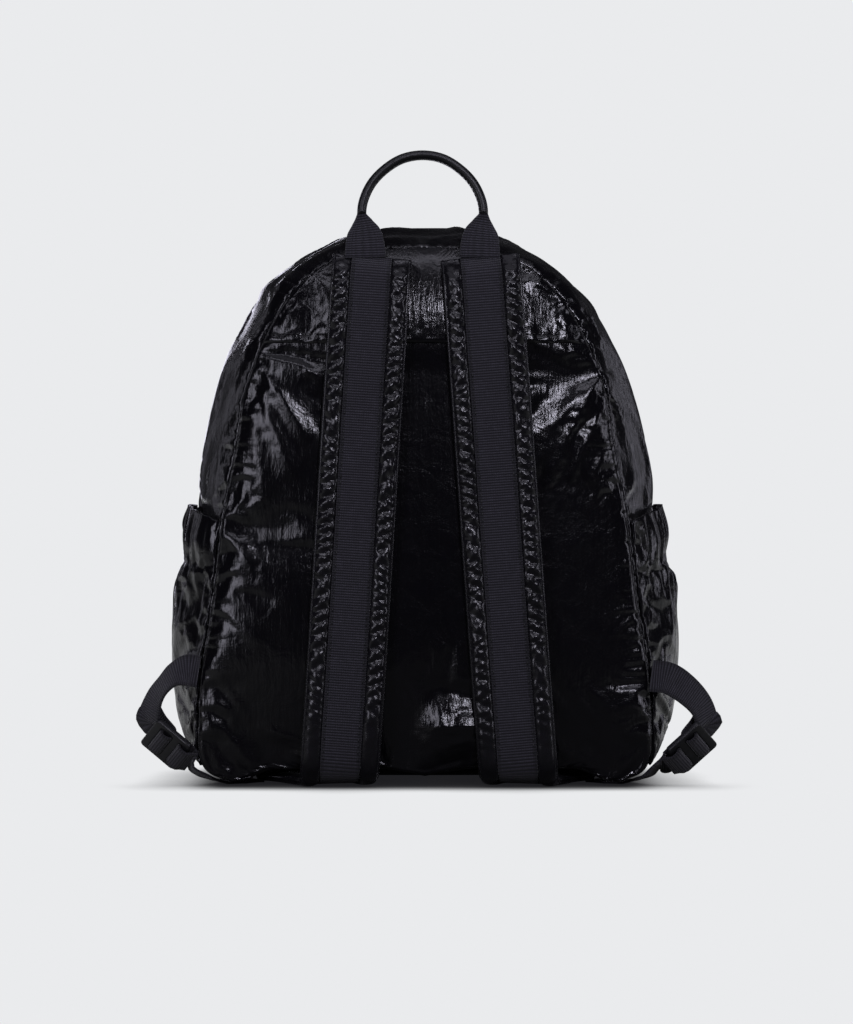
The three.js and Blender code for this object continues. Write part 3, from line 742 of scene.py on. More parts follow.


# Gives webbing its thickness and eased edges.
def finish_webbing(piece, thick, node):
    wall_thickness(piece, thick, offset=0)
    bevel = piece.modifiers.new("edge", "BEVEL")
    bevel.width = thick * WEB_EDGE * MM
    bevel.segments = 2
    bevel.limit_method = "ANGLE"
    bevel.angle_limit = math.radians(50)
    place_piece(piece, "webbing", node)


def new_material(name):
    material = bpy.data.materials.new(name)
    material.use_nodes = True
    return material, material.node_tree


# Gives a node's input a value, or joins it to another node's output.
def set_input(tree, socket, value):
    if isinstance(value, bpy.types.NodeSocket):
        tree.links.new(value, socket)
    else:
        socket.default_value = value


def set_inputs(tree, node, **values):
    for name, value in values.items():
        set_input(tree, node.inputs[name.replace("_", " ")], value)


def add_node(tree, kind, **values):
    node = tree.nodes.new("ShaderNode" + kind)
    set_inputs(tree, node, **values)
    return node


def add_math(tree, operation, *values):
    step = add_node(tree, "Math")
    step.operation = operation
    for socket, value in zip(step.inputs, values):
        set_input(tree, socket, value)
    return step.outputs[0]


def add_wave(tree, value, pitch):
    turn = add_math(tree, "MULTIPLY", value, 2 * math.pi / pitch)
    return add_math(tree, "SINE", turn)


# A soft step from one level to another as a value goes from start to end.
def add_range(tree, value, start, end, low, high):
    step = add_node(tree, "MapRange")
    step.interpolation_type = "SMOOTHSTEP"
    set_inputs(tree, step, Value=value, From_Min=start, From_Max=end, To_Min=low, To_Max=high)
    return step.outputs["Result"]


def add_group(tree, group, **values):
    node = add_node(tree, "Group")
    node.node_tree = group
    set_inputs(tree, node, **values)
    return node.outputs


def add_ramp(tree, source, stops):
    ramp = add_node(tree, "ValToRGB", Fac=source)
    for element, (place, colour) in zip(ramp.color_ramp.elements, stops):
        element.position = place
        element.color = (*colour, 1)
    return ramp.outputs["Color"]


def add_bump(tree, **values):
    return add_node(tree, "Bump", **values).outputs["Normal"]


# A group of nodes that takes a place and some numbers, and gives out other numbers.
def new_group(name, numbers, results):
    group = bpy.data.node_groups.new(name, "ShaderNodeTree")
    group.interface.new_socket(name="Vector", in_out="INPUT", socket_type="NodeSocketVector")
    for number, default in numbers.items():
        socket = group.interface.new_socket(name=number, in_out="INPUT", socket_type="NodeSocketFloat")
        socket.default_value = default
    for result in results:
        group.interface.new_socket(name=result, in_out="OUTPUT", socket_type="NodeSocketFloat")
    return group, group.nodes.new("NodeGroupInput").outputs


# Fine creases and upright streaks of coated cloth: a height for bumps and a mask of their crests, which the
# materials paint paler as a painted sheen.
def crease_group():
    sizes = {"Crease Scale": 70.0, "Streak Scale": 420.0}
    group, given = new_group("fine_creases", sizes, ["Height", "Wear"])
    broad = add_node(group, "TexNoise", Detail=5, Roughness=0.6, Distortion=0.6)
    set_inputs(group, broad, Vector=given["Vector"], Scale=given["Crease Scale"])
    ridge = add_math(group, "SUBTRACT", broad.outputs["Fac"], 0.5)
    ridge = add_math(group, "ABSOLUTE", ridge)
    ridge = add_math(group, "MULTIPLY", ridge, 3.4)
    ridge = add_math(group, "MINIMUM", ridge, 1.0)
    stretch = add_node(group, "Mapping", Scale=(1.0, 1.0, 0.13), Vector=given["Vector"])
    streak = add_node(group, "TexNoise", Detail=3, Roughness=0.6, Distortion=0.25)
    set_inputs(group, streak, Vector=stretch.outputs["Vector"], Scale=given["Streak Scale"])
    streaks = add_math(group, "MULTIPLY", streak.outputs["Fac"], 0.75)
    height = add_math(group, "MULTIPLY_ADD", ridge, 0.5, streaks)
    # The crest mask carries the painted sheen: materials make the crests of the bumps paler with it.
    set_inputs(group, group.nodes.new("NodeGroupOutput"), Height=height, Wear=ridge)
    return group


# Woven threads that cross at right angles along the UV map, by their pitch in metres.
def weave_group():
    sizes = {"Across Pitch": 0.0006, "Along Pitch": 0.0006}
    group, given = new_group("cloth_weave", sizes, ["Height"])
    split = add_node(group, "SeparateXYZ", Vector=given["Vector"])
    waves = []
    for axis, pitch in (("X", "Across Pitch"), ("Y", "Along Pitch")):
        turns = add_math(group, "DIVIDE", split.outputs[axis], given[pitch])
        waves.append(add_wave(group, turns, 1))
    woven = add_math(group, "MULTIPLY", *waves)
    woven = add_math(group, "MULTIPLY_ADD", woven, 0.5, 0.5)
    set_inputs(group, group.nodes.new("NodeGroupOutput"), Height=woven)
    return group


CREASES = crease_group()
WEAVE = weave_group()


# Coated black nylon: a tight fine weave under a glossy face that is creased; its crests are smoother and
# painted paler, a painted sheen.
def nylon_material(name, dark, pale, smooth, rough, crease_scale, crease_depth):
    material, tree = new_material(name)
    place = add_node(tree, "TexCoord").outputs
    creases = add_group(tree, CREASES, Crease_Scale=crease_scale, Vector=place["Object"])
    weave = add_group(tree, WEAVE, Across_Pitch=NYLON_PITCH, Along_Pitch=NYLON_PITCH, Vector=place["UV"])
    woven = add_bump(tree, Height=weave["Height"], Strength=0.18, Distance=0.00006)
    set_inputs(
        tree,
        tree.nodes["Principled BSDF"],
        Specular_IOR_Level=0.5,
        Sheen_Weight=0.08,
        Sheen_Roughness=0.4,
        # Painted sheen: the base colour is paler on the crests of the creases.
        Base_Color=add_ramp(tree, creases["Wear"], [(0.1, dark), (0.95, pale)]),
        Roughness=add_ramp(tree, creases["Wear"], [(0.0, (rough,) * 3), (0.8, (smooth,) * 3)]),
        Normal=add_bump(tree, Height=creases["Height"], Strength=0.5, Distance=crease_depth, Normal=woven),
    )
    return material


# Flat woven webbing: ribs across it, crossing threads and lines along its warp, dull and slightly fuzzy. Its
# colour holds painted shade in the grooves between the ribs and a painted sheen on crease crests.
def webbing_material(name, dark, pale, rib, width):
    material, tree = new_material(name)
    place = add_node(tree, "TexCoord").outputs
    split = add_node(tree, "SeparateXYZ", Vector=place["UV"]).outputs
    ribs = add_math(tree, "MULTIPLY_ADD", add_wave(tree, split["Y"], rib), 0.5, 0.5)
    warp = add_math(tree, "MULTIPLY_ADD", add_wave(tree, split["X"], WARP_PITCH), 0.22, 0.85)
    threads = add_group(tree, WEAVE, Across_Pitch=THREAD_PITCH, Along_Pitch=rib, Vector=place["UV"])
    creases = add_group(tree, CREASES, Crease_Scale=240.0, Vector=place["Object"])
    edge = add_math(tree, "SUBTRACT", split["X"], width / 2)
    edge = add_math(tree, "ABSOLUTE", edge)
    body = add_range(tree, edge, width / 2 - 0.0022, width / 2 - 0.0012, low=1.0, high=0.45)
    # Painted sheen on the crease crests, and painted shade in the rib grooves: darker wherever the rib bump
    # is low.
    tone_with_painted_shade = add_math(tree, "MULTIPLY_ADD", creases["Wear"], 0.5, 0.5)
    for share in (ribs, warp, body):
        tone_with_painted_shade = add_math(tree, "MULTIPLY", tone_with_painted_shade, share)
    woven = add_bump(tree, Height=threads["Height"], Strength=0.6, Distance=0.00018)
    set_inputs(
        tree,
        tree.nodes["Principled BSDF"],
        Specular_IOR_Level=0.3,
        Sheen_Weight=0.25,
        Sheen_Roughness=0.5,
        Base_Color=add_ramp(tree, tone_with_painted_shade, [(0.0, dark), (0.9, pale)]),
        Roughness=add_ramp(tree, ribs, [(0.0, (0.92,) * 3), (1.0, (0.68,) * 3)]),
        Normal=add_bump(tree, Height=ribs, Strength=0.8, Distance=0.00028, Normal=woven),
    )
    return material


# A satin black face, duller on the crests of its fine creases and painted paler there, a painted sheen:
# moulded plastic, and sewing thread.
def satin_material(name, dark, pale, smooth, rough):
    material, tree = new_material(name)
    place = add_node(tree, "TexCoord").outputs
    creases = add_group(tree, CREASES, Crease_Scale=160.0, Vector=place["Object"])
    set_inputs(
        tree,
        tree.nodes["Principled BSDF"],
        Specular_IOR_Level=0.55,
        # Painted sheen: the base colour is paler on the crease crests.
        Base_Color=add_ramp(tree, creases["Wear"], [(0.0, dark), (1.0, pale)]),
        Roughness=add_ramp(tree, creases["Wear"], [(0.0, (smooth,) * 3), (1.0, (rough,) * 3)]),
        Normal=add_bump(tree, Height=creases["Height"], Strength=0.25, Distance=0.00008),
    )
    return material


NYLON = nylon_material(
    "coated_nylon", dark=(0.0022, 0.0019, 0.0032), pale=(0.0045, 0.004, 0.006), smooth=0.12, rough=0.2,
    crease_scale=75.0, crease_depth=0.0006
)
PAD_NYLON = nylon_material(
    "pad_nylon", dark=(0.004, 0.0036, 0.0054), pale=(0.011, 0.01, 0.0138), smooth=0.15, rough=0.28,
    crease_scale=120.0, crease_depth=0.0003
)
WRAP_CLOTH = nylon_material(
    "handle_cloth", dark=(0.003, 0.0031, 0.0037), pale=(0.006, 0.0062, 0.0072), smooth=0.3, rough=0.42,
    crease_scale=150.0, crease_depth=0.0002
)
WEB_DARK = (0.006, 0.0056, 0.0076)
WEB_PALE = (0.064, 0.06, 0.079)
STRAP_WEB = webbing_material("strap_webbing", WEB_DARK, WEB_PALE, rib=0.0013, width=0.02)
NARROW_WEB = webbing_material("narrow_webbing", WEB_DARK, WEB_PALE, rib=0.0012, width=0.016)
HANDLE_WEB = webbing_material("handle_webbing", WEB_DARK, WEB_PALE, rib=0.0013, width=0.03)
ZIP_DARK = (0.004, 0.004, 0.0048)
ZIP_PALE = (0.012, 0.012, 0.0145)
ZIP_TAPE = webbing_material("zip_tape", ZIP_DARK, ZIP_PALE, rib=0.0012, width=0.009)
# The pale colour of the painted sheen on the plastic and the thread.
PAINTED_SHEEN = (0.02, 0.02, 0.023)
PLASTIC = satin_material("lock_plastic", (0.008, 0.008, 0.0095), PAINTED_SHEEN, smooth=0.34, rough=0.46)
THREAD = satin_material("sewing_thread", (0.006, 0.006, 0.007), PAINTED_SHEEN, smooth=0.45, rough=0.65)


# How far each point of a panel is from its middle and from its nearer side seam.
def from_middle_and_side(across, half):
    share = 2 * across - 1
    return share * half, (1 - np.abs(share)) * half


# How far a point is from the seams at the sides and over the top, where the arch is counted wider.
def arch_edge(side, z):
    return np.minimum(side, (BODY_HEIGHT - z) * ARCH_SHARE)


# The back: the lower panel up to the hem, and the yoke whose hem lies over it.
def back_panel():
    high = HEM_HEIGHT + HEM_OVERLAP

    def place(across, up):
        z = mix(PANEL_FOOT, high, up)
        half = half_width(z) - SEAM_GAP
        x = (2 * across - 1) * half
        tuck = ease(z, HEM_HEIGHT - HEM_TUCK, HEM_HEIGHT - HEM_LEVEL)
        folds = fold_height(x, z, FOLDS) * (1 - ease(z, HEM_HEIGHT - FOLD_FADE, HEM_HEIGHT))
        out = mix(BACK_DOME, HEM_DOME, tuck) * ease(z, *FOOT_SWELL) + folds + low_bulge(x, z)
        edge = np.minimum(half - np.abs(x), z - PANEL_FOOT)
        y = back_seam(z) - SEAM_GAP - WALL * rim_round(edge) - dome_share(x, half_width(z)) * out
        raise_by = base_lift(x, np.full_like(x, BACK_SEAM_FOOT)) * (1 - ease(z, *FOOT_LIFT))
        return np.stack([x, y, z + raise_by], axis=1)

    bm, across, up = sheet_grid(BACK_GRID, place, (BACK_CUT, high - PANEL_FOOT))
    piece = shape_piece("back_panel_cloth", bm, NYLON)
    z = mix(PANEL_FOOT, high, up)
    x, side = from_middle_and_side(across, half_width(z))
    foot = z - PANEL_FOOT
    puckers = seam_pucker(z, side, seed=1.3) + seam_pucker(x, foot, seed=2.1)
    displace(piece, puckers + crumple_height(x, z))
    edge = np.minimum(side, foot)
    held = np.where((edge < BACK_SLACK.sewn) | (z > HEM_HEIGHT - HEM_OVERLAP), 1, drawn_taut(x, z))
    buckle(piece, held, edge, BACK_SLACK, seed=3.1)
    finish_cloth(piece, "back_panel")


# How far back the yoke's face stands at a place, by its half width there and how full its rim is.
def yoke_face(x, z, half, rim):
    rise = np.clip((z - HEM_HEIGHT) / (BODY_HEIGHT - HEM_HEIGHT), 0, 1)
    return back_seam(z) - SEAM_GAP - WALL * rim - YOKE_DOME * dome_share(x, half) * (1 - rise ** YOKE_ROLL)


def back_yoke():
    start = float(np.interp(HEM_HEIGHT - HEM_LAP, SEAM_PLACES[:, 2], SEAM_ROWS))

    def place(across, up):
        seam = SEAM_LINE(mix(start, YOKE_TOP, up))
        z = seam[:, 2]
        half = seam[:, 0] - SEAM_GAP
        x = (2 * across - 1) * half
        edge = np.minimum(half - np.abs(x), BODY_HEIGHT - z)
        return np.stack([x, yoke_face(x, z, half + SEAM_GAP, rim_round(edge)), z], axis=1)

    bm, across, up = sheet_grid(YOKE_GRID, place, YOKE_CUT)
    piece = shape_piece("back_yoke_cloth", bm, NYLON)
    seam = SEAM_LINE(mix(start, YOKE_TOP, up))
    z = seam[:, 2]
    x, side = from_middle_and_side(across, seam[:, 0])
    arch = arch_edge(side, z)
    displace(piece, seam_pucker(z - 0.9 * np.abs(x), arch, seed=4.4))
    edge = np.minimum(arch, z - HEM_HEIGHT + HEM_LAP)
    held = np.where((edge < YOKE_SLACK.sewn) | (up > LAST_ROW), 1, drawn_taut(x, z))
    buckle(piece, held, edge, YOKE_SLACK, seed=7.7)
    finish_cloth(piece, "back_yoke")


def front_panel():
    high = BODY_HEIGHT - FRONT_TOP_GAP

    def place(across, up):
        row = np.interp(mix(PANEL_FOOT, high, up), SEAM_PLACES[:, 2], SEAM_ROWS)
        seam = SEAM_LINE(row)
        z = seam[:, 2]
        half = seam[:, 0] - SEAM_GAP
        x = (2 * across - 1) * half
        rise = np.minimum(np.abs(2 * z / BODY_HEIGHT - FRONT_FULLEST), 1)
        edge = np.minimum(np.minimum(half - np.abs(x), BODY_HEIGHT - z), z - PANEL_FOOT)
        dome = FRONT_DOME * dome_share(x, half + SEAM_GAP) * (1 - rise ** DOME_POWER)
        y = front_seam(z) + SEAM_GAP + WALL * rim_round(edge) + dome
        return np.stack([x, y, z], axis=1)

    bm, across, up = sheet_grid(FRONT_GRID, place, (BACK_CUT, FRONT_CUT_HIGH), turned=True)
    piece = shape_piece("front_panel_cloth", bm, NYLON)
    z = mix(PANEL_FOOT, high, up)
    x, side = from_middle_and_side(across, half_width(z))
    foot = z - PANEL_FOOT
    displace(piece, seam_pucker(z, side, seed=5.2) + seam_pucker(x, foot, seed=6.3))
    edge = np.minimum(arch_edge(side, z), foot)
    held = (edge < FRONT_SLACK.sewn) | (up > LAST_ROW)
    buckle(piece, held, edge, FRONT_SLACK, seed=12.3)
    finish_cloth(piece, "front_panel")


def gusset():
    row_at, run = even_rows(MIDDLE_LINE, BASE_JOINT, CROWN)

    def place(along, across):
        side = np.where(along < 0.5, -1.0, 1.0)
        row = row_at(1 - np.abs(2 * along - 1))
        return strip_place(side * row, 2 * across - 1)

    bm, along, across = sheet_grid(GUSSET_GRID, place, (2 * run, GUSSET_CUT))
    piece = shape_piece("gusset_cloth", bm, NYLON)
    edge = np.minimum(across, 1 - across) * GUSSET_WIDE
    gone = along * 2 * run
    folds = fold_height(gone - run, across * GUSSET_WIDE, GUSSET_FOLDS)
    ends_flat = np.minimum(1, along * (1 - along) * 40)
    displace(piece, (seam_pucker(gone, edge, seed=8.1) + folds) * ends_flat)
    zip_place = np.abs(2 * across - 1 - ZIP_ACROSS)
    ends = np.minimum(along, 1 - along)
    held = (edge < GUSSET_SLACK.sewn) | (zip_place < ZIP_HALF * ZIP_HOLD) | (ends < 1 - LAST_ROW)
    buckle(piece, held, edge, GUSSET_SLACK, seed=21.9)
    finish_cloth(piece, "gusset")


def base_panel():
    def place(along, across):
        point = strip_place(mix(-BASE_JOINT, BASE_JOINT, along), 2 * across - 1)
        point[:, 2] += base_lift(point[:, 0], point[:, 1])
        return point

    bm = sheet_grid(BASE_GRID, place, (BASE_CUT, GUSSET_CUT), turned=True)[0]
    finish_cloth(shape_piece("base_panel_cloth", bm, NYLON), "base_panel")


# A gathered pocket: sewn to the bag at both sides and the bottom, pinched by elastic below its mouth.
def side_pocket(name, side, seed):
    line = smooth_line(POCKET)
    row_at, run = even_rows(line, 0, len(POCKET) - 1)

    def place(along, up):
        across = 2 * along - 1
        row = line(row_at(up))
        z = row[:, 2] - row[:, 1] * across ** 2
        sewn = half_width(z) + POCKET_SEAT
        puff = 1 - np.abs(across) ** 3
        sway = 2.4 * np.sin(2.9 * across + 0.02 * z + seed)
        sway += 1.3 * np.sin(7.1 * across - 0.04 * z + 2 * seed)
        uneven = 0.7 + 0.5 * np.sin(3.7 * across + 2 * seed)
        wave = np.cos(POCKET_GATHERS * math.pi * across + sway)
        wave += np.cos(BROAD_SHARE * POCKET_GATHERS * math.pi * across - 2 * sway)
        ripple = POCKET_RIPPLE * row[:, 3] * uneven * wave * np.minimum(1, 3 * puff)
        y = mix(back_seam(z) + POCKET_INSET, front_seam(z) - POCKET_INSET, along)
        x = side * (mix(sewn, np.maximum(row[:, 0], sewn), puff) + ripple)
        return np.stack([x, y, z], axis=1)

    bm, along, up = sheet_grid(POCKET_GRID, place, (POCKET_CUT, run), turned=side < 0)
    piece = shape_piece(name + "_cloth", bm, NYLON)
    sides = np.minimum(along, 1 - along) * POCKET_CUT
    height = up * run
    pinch = np.abs(height - PINCH_SHARE * run)
    held = (sides < POCKET_SLACK.sewn) | (height < POCKET_SLACK.sewn) | (pinch < PINCH_HALF)
    edge = np.minimum(np.minimum(sides, height), pinch)
    buckle(piece, held, edge, POCKET_SLACK, seed=seed)
    finish_cloth(piece, name)


# Places along a shoulder strap, with its lean, fill and gathers there.
def strap_line(strap):
    rows = []
    for row in STRAP:
        hang = mix(strap.top, strap.foot, row.share)
        rows.append([mix(hang, strap.side * STRAP_END_REACH, row.bend), *row[2:]])
    return smooth_line(rows)


# Each place along a strap, its width direction and its outward direction.
def strap_frames(line, rows):
    place = line(rows)
    run = heading(line, rows)
    turn = np.radians(place[:, 3])
    facing = np.stack([np.zeros_like(turn), -np.cos(turn), -np.sin(turn)], axis=1)
    wide = unit(np.cross(run, facing))
    return place, wide, np.cross(wide, run)


# Places beside a line: so far across it and so far out from it.
def beside_line(frames, across, lift):
    place, wide, out = frames
    return place[:, :3] + wide * across[:, None] + out * lift[:, None]


# How far the gathers draw a pad's cloth in: sharp valleys between slanted puffs, uneven along the strap.
def pad_gather(along, across, side):
    lobe = np.sign(across)
    sway = 3.4 * np.sin(along * 0.047 + side + lobe) + 1.7 * np.sin(along * 0.151 + 2 * side - lobe)
    sway += 3 * lobe
    turn = math.pi * (along + GATHER_SLANT * side * across + sway) / GATHER_PITCH
    strength = 0.6 + 0.4 * np.sin(along * 0.071 + 2.4 * lobe + side) * np.cos(along * 0.023 + lobe)
    fine = math.pi * (along - GATHER_SLANT * side * across + 1.6 * sway) / FINE_PITCH
    valleys = 1 - np.abs(np.cos(turn)) ** 1.4
    return GATHER_DEPTH * strength * valleys + FINE_DEPTH * (1 - np.abs(np.cos(fine)))


# The strap is pressed flat where its top is sewn into the seam.
def top_press(along):
    return mix(TOP_PRESS, 1.0, ease(along, 0, TOP_PRESS_RUN))


# How far out the middle of the webbing lies on its pad.
def web_seat(along):
    return (PAD_WEB_SEAT + PAD_WEB_THICK / 2) * top_press(along)


def shoulder_strap(strap):
    line = strap_line(strap)
    row_at, run = even_rows(line, 0, len(STRAP) - 1)
    half = [[row.across, row.out, 0, row.roll] for row in PAD_SECTION]
    ring = half + [[-across, *rest] for across, *rest in half[-2::-1]]
    section = smooth_line(ring)
    section_at, girth = even_rows(section, 0, len(ring) - 1)

    def place(around, along):
        frames = strap_frames(line, row_at(along))
        fill, gather = frames[0][:, 4], frames[0][:, 5]
        cut = section(section_at(around))
        draw = cut[:, 3] * gather * pad_gather(along * run, cut[:, 0], strap.side)
        across = cut[:, 0] - GATHER_INWARDS * np.sign(cut[:, 0]) * draw
        lift = np.maximum(cut[:, 1] * fill * top_press(along * run) - draw, 0)
        return beside_line(frames, across, lift)

    bm = sheet_grid(PAD_GRID, place, (girth, run))[0]
    close_tube(bm)
    layer = bm.loops.layers.uv["UVMap"]
    spots = np.array([vert.link_loops[0][layer].uv for vert in bm.verts])
    cut = section(section_at(spots[:, 0] / (girth * MM)))
    along = spots[:, 1] / (run * MM)
    held = (np.abs(cut[:, 0]) < PAD_HELD_ACROSS) | (cut[:, 1] < PAD_HELD_OUT)
    held |= np.abs(cut[:, 1] - PAD_EDGE_OUT) < PAD_EDGE_HALF
    held |= (along < PAD_HELD_TOP) | (along > PAD_HELD_END)
    piece = shape_piece("strap_pad_" + strap.name + "_cloth", bm, PAD_NYLON)
    buckle(piece, held, held * 1.0, PAD_SLACK, seed=31 + strap.side, steps=PAD_STEPS)
    place_piece(piece, "nylon", "strap_pad_" + strap.name)

    def web_place(across, along):
        frames = strap_frames(line, row_at(along))
        reach = (2 * across - 1) * PAD_WEB_WIDTH / 2
        wave = WEB_WAVE * frames[0][:, 5] * np.sin(along * run * WEB_WAVE_TURN + np.sign(reach))
        return beside_line(frames, reach, web_seat(along * run) + wave * ease(np.abs(reach), *WEB_WAVE_EDGE))

    bm = sheet_grid(STRAP_WEB_GRID, web_place, (PAD_WEB_WIDTH, run))[0]
    bmesh.ops.recalc_face_normals(bm, faces=bm.faces)
    web = shape_piece("strap_webbing_" + strap.name + "_cloth", bm, STRAP_WEB)
    finish_webbing(web, PAD_WEB_THICK, "strap_webbing_" + strap.name)

    count = int(run * (STRAP_STITCH_TO - STRAP_STITCH_FROM) / STRAP_STITCH_PITCH)
    along = np.linspace(STRAP_STITCH_FROM, STRAP_STITCH_TO, count)
    frames = strap_frames(line, row_at(along))
    lift = web_seat(along * run) + PAD_WEB_THICK / 2 + STRAP_STITCH_LIFT
    sewn = []
    for reach in (-STRAP_STITCH_REACH, STRAP_STITCH_REACH):
        sewn.append(beside_line(frames, np.full(count, reach), lift))
    stitches("strap_stitching_" + strap.name, sewn, STRAP_STITCH)
    for side, reach in (("inner", -strap.side), ("outer", strap.side)):
        edge_welt(strap.name + "_" + side, line, row_at, run, reach)


# The smooth sewn edge of a pad, a slim roll of its own cloth.
def edge_welt(name, line, row_at, run, reach):
    def place(around, along):
        frames = strap_frames(line, row_at(along))
        turn = 2 * math.pi * around
        across = reach * WELT_REACH + WELT_ROUND * np.cos(turn)
        lift = WELT_LIFT * frames[0][:, 4] * top_press(along * run) + WELT_ROUND * np.sin(turn)
        return beside_line(frames, across, lift)

    place_piece(tube_piece("strap_edge_" + name, WELT_GRID, place, (WELT_CUT, run), PAD_NYLON), "nylon")


# Rows of short sewn stitches, each a slim bead along its row.
def stitches(name, rows, length):
    bm = bmesh.new()
    shape = Matrix.Diagonal((STITCH_ROUND * MM, STITCH_ROUND * MM, length * 0.5 * MM, 1))
    for places in rows:
        for index, place in enumerate(places):
            before = places[max(index - 1, 0)]
            after = places[min(index + 1, len(places) - 1)]
            run = Vector(after - before).normalized()
            turn = Vector((0, 0, 1)).rotation_difference(run).to_matrix().to_4x4()
            spot = Matrix.Translation(Vector(place * MM + BAG_MIDDLE))
            bmesh.ops.create_icosphere(bm, subdivisions=1, radius=1, matrix=spot @ turn @ shape)
    place_piece(shape_piece(name, bm, THREAD), "webbing")


# Webbing along a run of places, each with its own width direction.
def narrow_webbing(name, places, wides):
    line = smooth_line(places)
    wide_line = smooth_line(wides)
    row_at, run = even_rows(line, 0, len(places) - 1)

    def place(across, along):
        rows = row_at(along)
        forward = heading(line, rows)
        wide = wide_line(rows)
        wide = unit(wide - forward * np.sum(wide * forward, axis=1)[:, None])
        return line(rows) + wide * ((2 * across - 1) * NARROW_WEB_WIDTH / 2)[:, None]

    grid = (NARROW_WEB_COLUMNS, max(int(run / NARROW_WEB_STEP), NARROW_WEB_ROWS))
    bm = sheet_grid(grid, place, (NARROW_WEB_WIDTH, run))[0]
    piece = shape_piece(name + "_cloth", bm, NARROW_WEB)
    finish_webbing(piece, NARROW_WEB_THICK, name)


def tilted_width(inward, tilt):
    turn = math.radians(tilt)
    return np.array(inward) * math.cos(turn) + np.array([0, -math.sin(turn), 0])


# A ladder lock with the webbing that comes to it from the side seam and from the end of the strap.
def side_adjuster(lock):
    slope = math.radians(lock.slope)
    along = np.array([-lock.side * math.cos(slope), 0, -math.sin(slope)])
    inward = np.array([-lock.side * math.sin(slope), 0, math.cos(slope)])
    wide = tilted_width(inward, lock.tilt)
    out = np.cross(wide, along) * lock.side
    centre = np.array([lock.side * lock.reach, lock.y, lock.z])

    def threaded(name, rows, wides, thread):
        places = [[lock.side * row.reach, row.y, row.z] for row in rows]
        places += [centre + along * row.along + out * row.out for row in thread]
        narrow_webbing(name + "_" + lock.name, places, wides + [wide] * len(thread))

    line = smooth_line([[lock.side * row.reach, 0, row.z] for row in lock.loop])
    wides = []
    for index, row in enumerate(lock.loop):
        run = line(np.array([index + 0.01]))[0] - line(np.array([index - 0.01]))[0]
        run /= np.linalg.norm(run)
        wides.append(tilted_width([lock.side * run[2], 0, -lock.side * run[0]], row.tilt))
    threaded("adjuster_webbing", lock.loop, wides, ADJUSTER_THREAD)
    turns = [math.radians(row.tilt) for row in TAIL_FLOOR]
    wides = [[0, -math.sin(turn), math.cos(turn)] for turn in turns]
    threaded("strap_tail", TAIL_FLOOR, wides, TAIL_THREAD)
    ladder_lock(lock, centre, along, out)


# A ladder lock: a plate with four bars round three slots, all its edges eased.
def ladder_lock(lock, centre, along, out):
    edges_x = [-LOCK_WIDTH / 2, -LOCK_SLOT_WIDTH / 2, LOCK_SLOT_WIDTH / 2, LOCK_WIDTH / 2]
    edges_y = [-2 * LOCK_BAR - 1.5 * LOCK_SLOT]
    for step in range(LOCK_ROWS):
        edges_y.append(edges_y[-1] + (LOCK_SLOT if step % 2 else LOCK_BAR))
    bm = bmesh.new()
    bmesh.ops.create_grid(bm, x_segments=LOCK_COLUMNS, y_segments=LOCK_ROWS, size=0.5)
    slots = []
    for face in bm.faces:
        middle = face.calc_center_median()
        column = int((middle.x + 0.5) * LOCK_COLUMNS)
        row = int((middle.y + 0.5) * LOCK_ROWS)
        if column == 1 and row % 2:
            slots.append(face)
    for vert in bm.verts:
        column = round((vert.co.x + 0.5) * LOCK_COLUMNS)
        row = round((vert.co.y + 0.5) * LOCK_ROWS)
        vert.co = Vector((edges_x[column], edges_y[row], 0))
    bmesh.ops.delete(bm, geom=slots, context="FACES_ONLY")
    corners = [vert for vert in bm.verts if len(vert.link_edges) == 2]
    rounded = dict(segments=3, profile=0.5, material=-1)
    bmesh.ops.bevel(bm, geom=corners, offset=LOCK_CORNER, affect="VERTICES", **rounded)
    bmesh.ops.translate(bm, verts=bm.verts, vec=(0, 0, LOCK_THICK / 2))
    bmesh.ops.solidify(bm, geom=bm.faces[:], thickness=LOCK_THICK)
    bmesh.ops.recalc_face_normals(bm, faces=bm.faces)
    joined = [edge for edge in bm.edges if edge.is_manifold]
    sharp = [edge for edge in joined if edge.calc_face_angle() > math.radians(40)]
    bmesh.ops.bevel(bm, geom=sharp, offset=LOCK_EDGE, affect="EDGES", **rounded)
    turn = Matrix([np.cross(along, out), along, out]).transposed().to_4x4()
    middle = Matrix.Translation(Vector(centre * MM + BAG_MIDDLE))
    bmesh.ops.transform(bm, verts=bm.verts, matrix=middle @ turn @ Matrix.Scale(MM, 4))
    bmesh.ops.recalc_face_normals(bm, faces=bm.faces)
    piece = shape_piece("ladder_lock_" + lock.name + "_moulded", bm, PLASTIC)
    place_piece(piece, "lock_plastic", "ladder_lock_" + lock.name)


def close_tube(bm):
    bmesh.ops.remove_doubles(bm, verts=bm.verts, dist=0.00001)
    bmesh.ops.holes_fill(bm, edges=[edge for edge in bm.edges if edge.is_boundary], sides=0)
    bmesh.ops.recalc_face_normals(bm, faces=bm.faces)


def tube_piece(name, grid, place, size, material):
    bm = sheet_grid(grid, place, size)[0]
    close_tube(bm)
    return shape_piece(name, bm, material)


